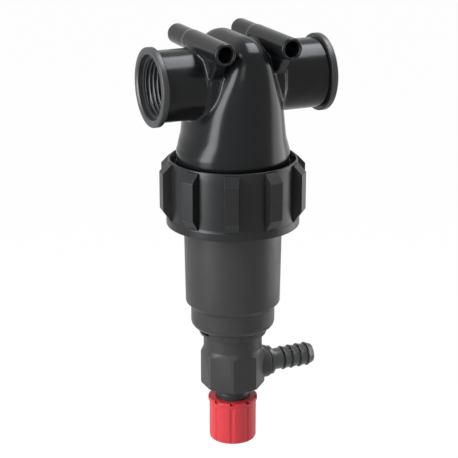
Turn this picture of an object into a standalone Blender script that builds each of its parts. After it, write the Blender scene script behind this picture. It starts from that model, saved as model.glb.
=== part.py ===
"""Inline strainer with a screwed bowl, a filter cartridge and a bayonet drain valve.

Frame: X along the port axis, Y along the mounting tubes, Z up along the bowl's axis.
The origin is where the port axis crosses the bowl's axis. Lengths are in metres.
"""
import math

import bmesh
import bpy
from mathutils import Matrix, Vector

MM = 0.001

# Fits, cuts and facets
CLEARANCE = 0.3 * MM
OVERRUN = 2.0 * MM
MERGE = 0.02 * MM
ROUND_STEPS = 32
FINE_STEPS = 16
KNOB_STEPS = 36
SEAL_SIDES = 6

# The real head is one moulding; its ports, tubes, skirt and spigot are pieces of their own here.
# Head: ports
BARREL_RADIUS = 19.4 * MM
FLANGE_RADIUS = 21.5 * MM
FLANGE_THICKNESS = 3.7 * MM
FLANGE_CHAMFER = 0.6 * MM
INLET_REACH = 49.0 * MM
OUTLET_REACH = 53.5 * MM
PORT_THREAD_RADIUS = 15.6 * MM
PORT_THREAD_DEPTH = 20.0 * MM
PORT_RECESS_RADIUS = 17.6 * MM
PORT_RECESS_DEPTH = 3.3 * MM
PORT_BORE_RADIUS = 11.0 * MM

# Head: column that narrows into a hood, and the hub between the ports
COLUMN_RADIUS = 31.3 * MM
HOOD_FOOT_DROP = 38.0 * MM
HOOD_TOP_HEIGHT = 26.2 * MM
HUB_RADIUS = 20.7 * MM
HUB_HALF_WIDTH = 22.6 * MM
WALL = 3.4 * MM
CHAMBER_ROOF_RADIUS = 20.0 * MM
# The hood's sections: share of its height, then width and depth as shares of the column's radius
HOOD_SHARES = [(0.0, 1.6, 1.0), (0.1, 1.13, 1.0), (0.2, 1.0, 1.0), (0.36, 0.88, 1.0), (0.5, 0.73, 1.0),
               (0.62, 0.59, 1.0), (0.72, 0.49, 0.99), (0.82, 0.4, 0.95), (0.9, 0.31, 0.87),
               (0.96, 0.2, 0.72), (0.99, 0.11, 0.55)]
HOOD_ROUNDING = 6

# Head: mounting tubes
TUBE_SPACING = 38.2 * MM
TUBE_HEIGHT = 21.2 * MM
TUBE_RADIUS = 6.05 * MM
TUBE_TAIL_RADIUS = 5.7 * MM
TUBE_HOLE_RADIUS = 4.25 * MM
TUBE_LENGTH = 68.4 * MM
TUBE_STEP = 12.0 * MM
WEB_THICKNESS = 7.0 * MM
WEB_SETBACK = 0.6 * MM
WEB_FOOT_HEIGHT = 5.0 * MM
WEB_FOOT_REACH = 20.0 * MM

# Head: thread collar and spigot for the cartridge
COLLAR_TOP_DROP = 48.0 * MM
COLLAR_LENGTH = 22.0 * MM
COLLAR_THICKNESS = 1.9 * MM
SPIGOT_RADIUS = 15.0 * MM
SPIGOT_LENGTH = 3.4 * MM
INLET_WINDOW_HALF_WIDTH = 15.5 * MM

# Ring nut
NUT_TOP_DROP = 43.3 * MM
NUT_HEIGHT = 37.5 * MM
NUT_WALL = 2.8 * MM
NUT_FOOT_STEP = 0.8 * MM
NUT_FOOT_HEIGHT = 4.2 * MM
NUT_MOUTH_FLARE = 1.1 * MM
NUT_MOUTH_DEPTH = 3.0 * MM
RIB_COUNT = 10
RIB_HEIGHT = 4.75 * MM
RIB_WIDTH = 8.2 * MM
RIB_TOP_DROP = 0.9 * MM
RIB_SHOULDER_DROP = 5.8 * MM
RIB_FOOT_RISE = 11.0 * MM
RIB_CHAMFER_END_RISE = 4.8 * MM
RIB_FIRST_ANGLE = math.radians(-7.0)

# Bowl
BOWL_NUT_GAP = 0.9 * MM
BOWL_LEDGE = 5.1 * MM
BOWL_TAPER = 0.85 * MM
BOWL_WALL = 2.8 * MM
BOWL_FLANGE_THICKNESS = 5.6 * MM
BOWL_STEP_DROP = 127.0 * MM
BOWL_STEP_RADIUS = 23.7 * MM
BOWL_STEP_CHAMFER = 3.6 * MM
BOWL_BOTTOM_DROP = 142.4 * MM
BOWL_BOTTOM_ROUND = 4.4 * MM
BOWL_FLOOR = 3.2 * MM
BOWL_RIM_SEAL_RADIUS = 1.5 * MM

# Bayonet collar under the bowl
BAYONET_RADIUS = 19.1 * MM
BAYONET_LENGTH = 4.0 * MM
BAYONET_CHAMFER = 0.8 * MM
SLOT_HEIGHT = 1.9 * MM
SLOT_TOP_DROP = 0.3 * MM
SLOT_START = math.radians(-159.0)
SLOT_SWEEP = math.radians(58.0)
LUG_SWEEP = math.radians(20.0)
LUG_RADIUS = 17.8 * MM
LUG_COUNT = 2

# Drain body
SOCKET_RADIUS = 13.4 * MM
SPIGOT_TOP_DROP = 138.0 * MM
NECK_RADIUS = 16.7 * MM
OCTAGON_TOP_DROP = 156.4 * MM
OCTAGON_BOTTOM_DROP = 177.7 * MM
OCTAGON_FLATS = 34.0 * MM
OCTAGON_TURNED_DROP = 2.6 * MM
SIDES = 8
SEAT_RADIUS = 6.6 * MM
SEAT_POCKET_RADIUS = 9.4 * MM
SEAT_DROP = 145.5 * MM
DRAIN_CHAMBER_RADIUS = 8.6 * MM
DRAIN_CHAMBER_TOP_DROP = 152.0 * MM
DRAIN_CHAMBER_FLOOR_DROP = 176.0 * MM
DRAIN_NECK_RADIUS = 9.7 * MM
DRAIN_NECK_END_DROP = 199.5 * MM
GUIDE_RADIUS = 6.2 * MM
DRAIN_SEAL_DROP = 141.0 * MM
DRAIN_SEAL_RADIUS = 1.0 * MM

# Side boss and hose tail
BOSS_RADIUS = 9.4 * MM
BOSS_REACH = 21.4 * MM
TAIL_DROP = 168.0 * MM
TAIL_REACH = 50.0 * MM
TAIL_BORE_RADIUS = 4.2 * MM
TAIL_SOCKET_RADIUS = 6.9 * MM
TAIL_SOCKET_DEPTH = 8.0 * MM
TAIL_SHANK_RADIUS = 6.2 * MM
TAIL_CREST_RADIUS = 6.9 * MM
TAIL_ROOT_RADIUS = 5.9 * MM
TAIL_FLANGE_RADIUS = 8.4 * MM
TAIL_FLANGE_THICKNESS = 2.2 * MM
BARB_COUNT = 4
BARB_FIRST = 31.0 * MM
BARB_PITCH = 5.1 * MM
TAIL_SEAL_RADIUS = 0.75 * MM

# Poppet and stem
POPPET_RADIUS = 8.4 * MM
POPPET_THICKNESS = 2.6 * MM
POPPET_SEAL_THICKNESS = 1.4 * MM
ROD_RADIUS = 3.4 * MM
PISTON_RADIUS = 5.9 * MM
PISTON_TOP_DROP = 185.0 * MM
PISTON_LENGTH = 13.0 * MM
PISTON_GROOVE_RADIUS = 4.5 * MM
PISTON_SEAL_RADIUS = 0.7 * MM
PISTON_SEAL_INSET = 2.6 * MM

# Knob
KNOB_TOP_DROP = 185.8 * MM
KNOB_BOTTOM_DROP = 211.5 * MM
KNOB_RIM_RADIUS = 14.1 * MM
KNOB_RIM_HEIGHT = 2.4 * MM
KNOB_BODY_RADIUS = 13.4 * MM
KNOB_FLOOR = 5.2 * MM
KNOB_CHAMFER = 1.4 * MM
FLUTE_COUNT = 9
FLUTE_SIDES = 8
FLUTE_RADIUS = 1.5 * MM
FLUTE_INSET = 0.2 * MM
FLUTE_TOP_GAP = 0.8 * MM
FLUTE_FIRST_ANGLE = math.radians(-115.6)
SCREW_HEAD_RADIUS = 3.2 * MM
SCREW_HEAD_HEIGHT = 1.8 * MM
SCREW_SHANK_RADIUS = 1.5 * MM
SCREW_LENGTH = 9.0 * MM
SCREW_POCKET_RADIUS = 3.8 * MM
SCREW_POCKET_DEPTH = 2.6 * MM

# Cartridge
CARTRIDGE_TOP_DROP = 66.0 * MM
CARTRIDGE_RING_HEIGHT = 9.0 * MM
CARTRIDGE_RADIUS = 19.4 * MM
CARTRIDGE_CAP_HEIGHT = 4.0 * MM
CARTRIDGE_FOOT_HEIGHT = 3.0 * MM
CARTRIDGE_FOOT_WIDTH = 4.0 * MM
CARTRIDGE_FOOT_COUNT = 4
CAGE_RADIUS = 17.6 * MM
CAGE_DEPTH = 2.6 * MM
CAGE_BAR_WIDTH = 2.2 * MM
CAGE_BAR_COUNT = 6
HOOP_COUNT = 4
HOOP_HEIGHT = 1.8 * MM
MESH_THICKNESS = 0.6 * MM
CARTRIDGE_SEAL_RADIUS = 0.9 * MM

# Places that follow from the sizes above, as heights in the part's frame
HOOD_FOOT = -HOOD_FOOT_DROP
HOOD_RISE = HOOD_TOP_HEIGHT + HOOD_FOOT_DROP
CHAMBER_ROOF = -HUB_RADIUS - WALL
PORT_ROOT = TUBE_SPACING / 2 + TUBE_RADIUS + CLEARANCE * 2
COLLAR_RADIUS = COLUMN_RADIUS + COLLAR_THICKNESS
NUT_BORE_RADIUS = COLLAR_RADIUS + CLEARANCE
NUT_BODY_RADIUS = NUT_BORE_RADIUS + NUT_WALL
NUT_FOOT_RADIUS = NUT_BODY_RADIUS + NUT_FOOT_STEP
RIB_RADIUS = NUT_BODY_RADIUS + RIB_HEIGHT
COLLAR_TOP = -COLLAR_TOP_DROP
COLLAR_BOTTOM = COLLAR_TOP - COLLAR_LENGTH
NUT_TOP = -NUT_TOP_DROP
NUT_BOTTOM = NUT_TOP - NUT_HEIGHT
BOWL_TOP = COLLAR_BOTTOM - CLEARANCE
BOWL_STEP = -BOWL_STEP_DROP
BOWL_BOTTOM = -BOWL_BOTTOM_DROP
BOWL_FLANGE_RADIUS = NUT_BORE_RADIUS - BOWL_NUT_GAP
BOWL_TOP_RADIUS = BOWL_FLANGE_RADIUS - BOWL_LEDGE
BOWL_FOOT_RADIUS = BOWL_TOP_RADIUS - BOWL_TAPER
BOWL_INNER_RADIUS = BOWL_TOP_RADIUS - BOWL_WALL
LEDGE_RADIUS = BOWL_STEP_RADIUS - BOWL_WALL
LEDGE = BOWL_STEP - BOWL_STEP_CHAMFER + BOWL_WALL
BAYONET_BOTTOM = BOWL_BOTTOM - BAYONET_LENGTH
SPIGOT_BOTTOM = COLLAR_BOTTOM - SPIGOT_LENGTH
SEAT = -SEAT_DROP
KNOB_TOP = -KNOB_TOP_DROP
KNOB_BOTTOM = -KNOB_BOTTOM_DROP
CARTRIDGE_TOP = -CARTRIDGE_TOP_DROP
CARTRIDGE_BASE = LEDGE + CLEARANCE + CARTRIDGE_FOOT_HEIGHT
TAIL_HEIGHT = -TAIL_DROP


def clear_scene():
    for obj in list(bpy.data.objects):
        bpy.data.objects.remove(obj, do_unlink=True)


def new_collection(name):
    collection = bpy.data.collections.new(name)
    bpy.context.scene.collection.children.link(collection)
    return collection


def plastic(name, colour, roughness, metallic=0.0):
    material = bpy.data.materials.new(name)
    material.use_nodes = True
    shader = material.node_tree.nodes["Principled BSDF"]
    shader.inputs["Base Color"].default_value = (*colour, 1.0)
    shader.inputs["Roughness"].default_value = roughness
    shader.inputs["Metallic"].default_value = metallic
    return material


def place(name, mesh, collection, material=None):
    obj = bpy.data.objects.new(name, mesh)
    collection.objects.link(obj)
    if material is not None:
        mesh.materials.append(material)
    return obj


def as_guide(obj):
    obj.hide_render = True
    obj.display_type = "WIRE"
    return obj


def turned(name, outline, collection, material=None, steps=ROUND_STEPS, closed=False):
    """Turn an outline of (radius, height) points, listed down the outer side, about Z."""
    mesh = bpy.data.meshes.new(name)
    points = [(radius, 0.0, height) for radius, height in outline]
    edges = [(i, i + 1) for i in range(len(points) - 1)]
    if closed:
        edges.append((len(points) - 1, 0))
    mesh.from_pydata(points, edges, [])
    obj = place(name, mesh, collection, material)
    screw = obj.modifiers.new("turn", "SCREW")
    screw.axis = "Z"
    screw.angle = math.tau
    screw.steps = steps
    screw.render_steps = steps
    screw.use_merge_vertices = True
    screw.merge_threshold = MERGE
    screw.use_smooth_shade = True
    return obj


def lay_along_x(obj):
    """Lay a piece turned about Z so that its upper end points to +X."""
    obj.rotation_euler = (0.0, math.pi / 2, 0.0)
    return obj


def cylinder(name, radius, start, end, collection, steps=ROUND_STEPS):
    """A round bar between two points, as a guide for cutting or joining."""
    span = Vector(end) - Vector(start)
    bm = bmesh.new()
    bmesh.ops.create_cone(bm, cap_ends=True, segments=steps, radius1=radius, radius2=radius,
                          depth=span.length)
    mesh = bpy.data.meshes.new(name)
    bm.to_mesh(mesh)
    bm.free()
    obj = as_guide(place(name, mesh, collection))
    obj.rotation_mode = "QUATERNION"
    obj.rotation_quaternion = span.to_track_quat("Z", "Y")
    obj.location = (Vector(start) + Vector(end)) / 2
    return obj


def block(name, low, high, collection):
    """A box between its lowest and highest corners, as a guide."""
    low, high = Vector(low), Vector(high)
    bm = bmesh.new()
    bmesh.ops.create_cube(bm, size=1.0)
    bmesh.ops.transform(bm, matrix=Matrix.Diagonal((*(high - low), 1.0)), verts=bm.verts)
    bmesh.ops.translate(bm, vec=(low + high) / 2, verts=bm.verts)
    mesh = bpy.data.meshes.new(name)
    bm.to_mesh(mesh)
    bm.free()
    return as_guide(place(name, mesh, collection))


def prism(name, outline, thickness, collection):
    """Extrude a closed outline of points both ways along the normal of its plane."""
    bm = bmesh.new()
    face = bm.faces.new([bm.verts.new(point) for point in outline])
    face.normal_update()
    offset = face.normal * thickness
    bmesh.ops.translate(bm, vec=-offset / 2, verts=bm.verts)
    grown = bmesh.ops.extrude_face_region(bm, geom=[face])
    moved = [item for item in grown["geom"] if isinstance(item, bmesh.types.BMVert)]
    bmesh.ops.translate(bm, vec=offset, verts=moved)
    bmesh.ops.recalc_face_normals(bm, faces=bm.faces)
    mesh = bpy.data.meshes.new(name)
    bm.to_mesh(mesh)
    bm.free()
    return as_guide(place(name, mesh, collection))


def combine(target, tool, operation):
    modifier = target.modifiers.new(tool.name, "BOOLEAN")
    modifier.operation = operation
    modifier.solver = "EXACT"
    modifier.object = tool
    as_guide(tool)
    return target


def join(target, *tools):
    for tool in tools:
        combine(target, tool, "UNION")
    return target


def cut(target, *tools):
    for tool in tools:
        combine(target, tool, "DIFFERENCE")
    return target


def seal_ring(name, ring_radius, section_radius, height, collection, material, steps=ROUND_STEPS):
    """An O-ring about Z: a round section turned about the axis."""
    turn = math.tau / SEAL_SIDES
    outline = [(ring_radius + section_radius * math.cos(turn * i),
                height - section_radius * math.sin(turn * i))
               for i in range(SEAL_SIDES)]
    return turned(name, outline, collection, material, steps, closed=True)


def arc(centre, radii, start, end, count):
    """Points on a quarter or part of an ellipse, from one angle to the other."""
    angles = [start + (end - start) * i / count for i in range(count + 1)]
    return [(centre[0] + radii[0] * math.cos(a), centre[1] + radii[1] * math.sin(a)) for a in angles]


def sector(name, inner, outer, low, high, start, sweep, collection, steps=6):
    """A thick slice of a ring about Z, as a guide."""
    bm = bmesh.new()
    rows = []
    for i in range(steps + 1):
        angle = start + sweep * i / steps
        way = Vector((math.cos(angle), math.sin(angle), 0.0))
        corners = [(inner, low), (outer, low), (outer, high), (inner, high)]
        rows.append([bm.verts.new(way * radius + Vector((0.0, 0.0, height))) for radius, height in corners])
    for here, there in zip(rows, rows[1:]):
        for k in range(4):
            bm.faces.new((here[k], there[k], there[(k + 1) % 4], here[(k + 1) % 4]))
    bm.faces.new(rows[0])
    bm.faces.new(list(reversed(rows[-1])))
    bmesh.ops.recalc_face_normals(bm, faces=bm.faces)
    mesh = bpy.data.meshes.new(name)
    bm.to_mesh(mesh)
    bm.free()
    return as_guide(place(name, mesh, collection))


def combine_all(target, tools, operation):
    """One Boolean that works out several tools together, so no rounding adds up between them."""
    group = new_collection(target.name + "_" + operation.lower())
    for tool in tools:
        group.objects.link(as_guide(tool))
    modifier = target.modifiers.new(group.name, "BOOLEAN")
    modifier.operation = operation
    modifier.operand_type = "COLLECTION"
    modifier.collection = group
    modifier.solver = "EXACT"
    return target


def head_port(name, side, reach, parts, material):
    """One port, turned and laid along X: barrel, end flange, thread bore and flow bore."""
    flange_back = reach - FLANGE_THICKNESS
    thread_end = reach - PORT_THREAD_DEPTH
    foot = PORT_ROOT + CLEARANCE
    outline = [(FLANGE_RADIUS - FLANGE_CHAMFER, reach),
               (FLANGE_RADIUS, reach - FLANGE_CHAMFER),
               (FLANGE_RADIUS, flange_back + FLANGE_CHAMFER),
               (FLANGE_RADIUS - FLANGE_CHAMFER, flange_back),
               (BARREL_RADIUS, flange_back),
               (BARREL_RADIUS, foot),
               (PORT_BORE_RADIUS, foot),
               (PORT_BORE_RADIUS, thread_end - (PORT_THREAD_RADIUS - PORT_BORE_RADIUS) / 2),
               (PORT_THREAD_RADIUS, thread_end),
               (PORT_THREAD_RADIUS, reach - PORT_RECESS_DEPTH),
               (PORT_RECESS_RADIUS, reach - PORT_RECESS_DEPTH),
               (PORT_RECESS_RADIUS + FLANGE_CHAMFER, reach)]
    port = turned(name, outline, parts, material, closed=True)
    port.rotation_euler = (0.0, side * math.pi / 2, 0.0)
    return port


def hood_section(half_width, half_depth, height):
    """A ring of points: a circle pinched to a half width on both sides, with rounded corners."""
    ring = []
    for angle in column_turns():
        x, y = math.cos(angle), math.sin(angle)
        pinch = (abs(x) / half_width) ** HOOD_ROUNDING + (1.0 / half_depth) ** HOOD_ROUNDING
        reach = pinch ** (-1.0 / HOOD_ROUNDING)
        ring.append((x * reach, y * reach, height))
    return ring


def head_column(parts, material):
    """The round column and the hood it narrows into, lofted through rings of points."""
    rings = [hood_section(COLUMN_RADIUS * width_share, COLUMN_RADIUS * depth_share,
                          HOOD_FOOT + HOOD_RISE * height_share)
             for height_share, width_share, depth_share in HOOD_SHARES]
    bm = bmesh.new()
    rows = [[bm.verts.new(point) for point in ring] for ring in rings]
    for low, high in zip(rows, rows[1:]):
        for k in range(ROUND_STEPS):
            following = (k + 1) % ROUND_STEPS
            bm.faces.new((low[k], low[following], high[following], high[k]))
    bm.faces.new(list(reversed(rows[0])))
    crest = bm.verts.new((0.0, 0.0, HOOD_TOP_HEIGHT))
    for k in range(ROUND_STEPS):
        bm.faces.new((rows[-1][k], rows[-1][(k + 1) % ROUND_STEPS], crest))
    for face in bm.faces:
        face.smooth = len(face.verts) < ROUND_STEPS
    mesh = bpy.data.meshes.new("head_body")
    bm.to_mesh(mesh)
    bm.free()
    return place("head_body", mesh, parts, material)


def column_turns():
    """Angles of the column's corners, half a facet off the axes, so that no edge of a port meets one."""
    return [math.tau * (i + 0.5) / ROUND_STEPS for i in range(ROUND_STEPS)]


def tube_centre(side):
    return side * TUBE_SPACING / 2


def mounting_tube(name, side, parts, material):
    """One through-bored mounting tube, turned and laid along Y: thick front length, thinner tail."""
    half = TUBE_LENGTH / 2
    outline = [(TUBE_HOLE_RADIUS, half), (TUBE_TAIL_RADIUS, half), (TUBE_TAIL_RADIUS, TUBE_STEP),
               (TUBE_RADIUS, TUBE_STEP), (TUBE_RADIUS, -half), (TUBE_HOLE_RADIUS, -half)]
    tube = turned(name, outline, parts, material, FINE_STEPS, closed=True)
    tube.location = (tube_centre(side), 0.0, TUBE_HEIGHT)
    tube.rotation_euler = (-math.pi / 2, 0.0, 0.0)
    return tube


def tube_web(side, guides):
    """The web under one mounting tube's front length."""
    x = tube_centre(side)
    front = WEB_SETBACK - TUBE_LENGTH / 2
    back = TUBE_STEP - WEB_SETBACK
    outline = [(x, front, TUBE_HEIGHT), (x, front, TUBE_HEIGHT - TUBE_RADIUS / 2),
               (x, -WEB_FOOT_REACH, WEB_FOOT_HEIGHT), (x, back, WEB_FOOT_HEIGHT), (x, back, TUBE_HEIGHT)]
    return prism("tube_web", outline, WEB_THICKNESS, guides)


def tube_seat(side, guides):
    """Cutter for the trough in which one mounting tube lies."""
    x = tube_centre(side)
    reach = TUBE_LENGTH / 2 + OVERRUN
    return cylinder("tube_seat", TUBE_RADIUS + CLEARANCE, (x, -reach, TUBE_HEIGHT), (x, reach, TUBE_HEIGHT),
                    guides, FINE_STEPS)


def port_seat(side, guides):
    """Cutter that makes room for one port, which lies against the hub and partly in the column."""
    return cylinder("port_seat", BARREL_RADIUS + CLEARANCE, (side * PORT_ROOT, 0.0, 0.0),
                    (side * OUTLET_REACH, 0.0, 0.0), guides)


def head_chamber(guides):
    """Chamber round the spigot, open below."""
    outer = COLUMN_RADIUS - WALL
    outline = [(0.0, CHAMBER_ROOF), (CHAMBER_ROOF_RADIUS, CHAMBER_ROOF), (outer, HOOD_FOOT),
               (outer, HOOD_FOOT - OVERRUN), (0.0, HOOD_FOOT - OVERRUN)]
    return as_guide(turned("chamber", outline, guides))


def head_skirt(parts, material):
    """The column's straight foot with the collar for the nut's thread."""
    outer = COLUMN_RADIUS - WALL
    top = HOOD_FOOT - CLEARANCE
    outline = [(COLUMN_RADIUS, top), (COLUMN_RADIUS, COLLAR_TOP), (COLLAR_RADIUS, COLLAR_TOP),
               (COLLAR_RADIUS, COLLAR_BOTTOM), (outer, COLLAR_BOTTOM), (outer, top)]
    return turned("head_skirt", outline, parts, material, closed=True)


def head_spigot(parts, material):
    """The pipe that hangs from the chamber's roof and takes the cartridge."""
    top = CHAMBER_ROOF - CLEARANCE
    outline = [(SPIGOT_RADIUS, top), (SPIGOT_RADIUS, SPIGOT_BOTTOM + FLANGE_CHAMFER),
               (SPIGOT_RADIUS - FLANGE_CHAMFER, SPIGOT_BOTTOM), (PORT_BORE_RADIUS, SPIGOT_BOTTOM),
               (PORT_BORE_RADIUS, top)]
    return turned("head_spigot", outline, parts, material, closed=True)


def head_inlet(guides):
    """Inlet bore and the window from it down into the chamber, both kept clear of the spigot's wall."""
    bore = cylinder("inlet_flow", PORT_BORE_RADIUS, (-PORT_ROOT - OVERRUN, 0.0, 0.0), (0.0, 0.0, 0.0), guides)
    floor = CHAMBER_ROOF - OVERRUN * 2
    window = block("inlet_window", (WALL - HUB_HALF_WIDTH, -INLET_WINDOW_HALF_WIDTH, floor),
                   (-SPIGOT_RADIUS / 2, INLET_WINDOW_HALF_WIDTH, -WALL), guides)
    for passage in (bore, window):
        keep = cylinder("spigot_keep", SPIGOT_RADIUS + CLEARANCE, (0.0, 0.0, floor - OVERRUN),
                        (0.0, 0.0, COLUMN_RADIUS), guides)
        cut(passage, keep)
    return bore, window


def head_outlet(guides):
    """Outlet bore and the way up to it through the spigot."""
    bore = cylinder("outlet_flow", PORT_BORE_RADIUS, (-WALL, 0.0, 0.0), (PORT_ROOT + OVERRUN, 0.0, 0.0),
                    guides)
    rise = cylinder("outlet_rise", PORT_BORE_RADIUS, (0.0, 0.0, WALL), (0.0, 0.0, CHAMBER_ROOF - OVERRUN),
                    guides)
    return bore, rise


def head_body(parts, guides, material):
    """The moulded head's middle: union of its forms, then the flow passages are cut."""
    head = head_column(parts, material)
    barrel_end = PORT_ROOT + OVERRUN
    forms = [cylinder("hub_form", HUB_RADIUS, (-HUB_HALF_WIDTH, 0.0, 0.0), (HUB_HALF_WIDTH, 0.0, 0.0), guides),
             cylinder("barrel_root", BARREL_RADIUS, (-barrel_end, 0.0, 0.0), (barrel_end, 0.0, 0.0), guides)]
    cuts = [head_chamber(guides), *head_inlet(guides), *head_outlet(guides)]
    for side in (-1, 1):
        forms.append(tube_web(side, guides))
        cuts += [tube_seat(side, guides), port_seat(side, guides)]
    combine_all(head, forms, "UNION")
    return combine_all(head, cuts, "DIFFERENCE")


def ring_nut(parts, guides, material):
    """Ring nut: turned body with ten grip ribs, a thread bore and a lip under the bowl's flange."""
    lip_top = BOWL_TOP - BOWL_FLANGE_THICKNESS - CLEARANCE
    foot_top = NUT_BOTTOM + NUT_FOOT_HEIGHT
    bore = NUT_BORE_RADIUS
    lip_bore = BOWL_TOP_RADIUS + CLEARANCE * 2
    edge = CLEARANCE * 2
    outline = [(NUT_BODY_RADIUS - edge, NUT_TOP),
               (NUT_BODY_RADIUS, NUT_TOP - edge),
               (NUT_BODY_RADIUS, foot_top + NUT_FOOT_RADIUS - NUT_BODY_RADIUS),
               (NUT_FOOT_RADIUS, foot_top),
               (NUT_FOOT_RADIUS, NUT_BOTTOM + edge),
               (NUT_FOOT_RADIUS - edge, NUT_BOTTOM),
               (lip_bore, NUT_BOTTOM),
               (lip_bore, lip_top),
               (bore, lip_top),
               (bore, NUT_TOP - NUT_MOUTH_DEPTH),
               (bore + NUT_MOUTH_FLARE, NUT_TOP)]
    nut = turned("ring_nut", outline, parts, material, closed=True)
    root = NUT_BODY_RADIUS - (NUT_BODY_RADIUS - bore) / 2
    rib_outline = [(root, NUT_TOP - RIB_TOP_DROP),
                   (NUT_BODY_RADIUS, NUT_TOP - RIB_TOP_DROP),
                   (RIB_RADIUS, NUT_TOP - RIB_SHOULDER_DROP),
                   (RIB_RADIUS, NUT_BOTTOM + RIB_FOOT_RISE),
                   (NUT_BODY_RADIUS + edge, NUT_BOTTOM + RIB_CHAMFER_END_RISE),
                   (root, NUT_BOTTOM + RIB_CHAMFER_END_RISE)]
    for i in range(RIB_COUNT):
        angle = RIB_FIRST_ANGLE + math.tau * i / RIB_COUNT
        rib = prism("grip_rib", [(radius, 0.0, height) for radius, height in rib_outline], RIB_WIDTH, guides)
        rib.rotation_euler = (0.0, 0.0, angle)
        join(nut, rib)
    return nut


def bowl(parts, guides, material):
    """Bowl: a turned shell with a flange, a step, a rounded floor and the bayonet collar."""
    flange_bottom = BOWL_TOP - BOWL_FLANGE_THICKNESS
    floor = BOWL_BOTTOM + BOWL_FLOOR
    seal = BOWL_RIM_SEAL_RADIUS + CLEARANCE
    groove_centre = (BOWL_FLANGE_RADIUS + BOWL_INNER_RADIUS) / 2
    groove_floor = BOWL_TOP - BOWL_RIM_SEAL_RADIUS * 2
    step_foot = BOWL_STEP - BOWL_STEP_CHAMFER
    round_centre = (BOWL_STEP_RADIUS - BOWL_BOTTOM_ROUND, BOWL_BOTTOM + BOWL_BOTTOM_ROUND)
    inner_foot = BOWL_FOOT_RADIUS - BOWL_WALL
    outline = [(BOWL_FLANGE_RADIUS, BOWL_TOP),
               (BOWL_FLANGE_RADIUS, flange_bottom),
               (BOWL_TOP_RADIUS, flange_bottom),
               (BOWL_FOOT_RADIUS, BOWL_STEP),
               (BOWL_STEP_RADIUS, step_foot)]
    outline += arc(round_centre, (BOWL_BOTTOM_ROUND, BOWL_BOTTOM_ROUND), 0.0, -math.pi / 2, 3)
    outline += [(BAYONET_RADIUS, BOWL_BOTTOM),
                (BAYONET_RADIUS, BAYONET_BOTTOM + BAYONET_CHAMFER),
                (BAYONET_RADIUS - BAYONET_CHAMFER, BAYONET_BOTTOM),
                (SOCKET_RADIUS, BAYONET_BOTTOM),
                (SOCKET_RADIUS, floor),
                (LEDGE_RADIUS - BOWL_WALL, floor),
                (LEDGE_RADIUS, floor + BOWL_WALL),
                (LEDGE_RADIUS, LEDGE),
                (inner_foot, LEDGE),
                (BOWL_INNER_RADIUS, flange_bottom),
                (BOWL_INNER_RADIUS, BOWL_TOP),
                (groove_centre - seal, BOWL_TOP),
                (groove_centre - seal, groove_floor),
                (groove_centre + seal, groove_floor),
                (groove_centre + seal, BOWL_TOP)]
    shell = turned("bowl", outline, parts, material, closed=True)
    slot_top = BOWL_BOTTOM - SLOT_TOP_DROP
    for i in range(LUG_COUNT):
        start = SLOT_START + math.tau * i / LUG_COUNT
        slot = sector("bayonet_slot", SOCKET_RADIUS - OVERRUN, BAYONET_RADIUS + OVERRUN,
                      slot_top - SLOT_HEIGHT, slot_top, start, SLOT_SWEEP, guides)
        cut(shell, slot)
    return shell


def octagon(name, flats, low, high, guides):
    """An eight-sided bar about Z with its flats square to X and Y."""
    corner = flats / 2 / math.cos(math.pi / SIDES)
    bm = bmesh.new()
    bmesh.ops.create_cone(bm, cap_ends=True, segments=SIDES, radius1=corner, radius2=corner, depth=high - low)
    bmesh.ops.rotate(bm, matrix=Matrix.Rotation(math.pi / SIDES, 3, "Z"), verts=bm.verts)
    bmesh.ops.translate(bm, vec=(0.0, 0.0, (low + high) / 2), verts=bm.verts)
    mesh = bpy.data.meshes.new(name)
    bm.to_mesh(mesh)
    bm.free()
    return place(name, mesh, guides)


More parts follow.
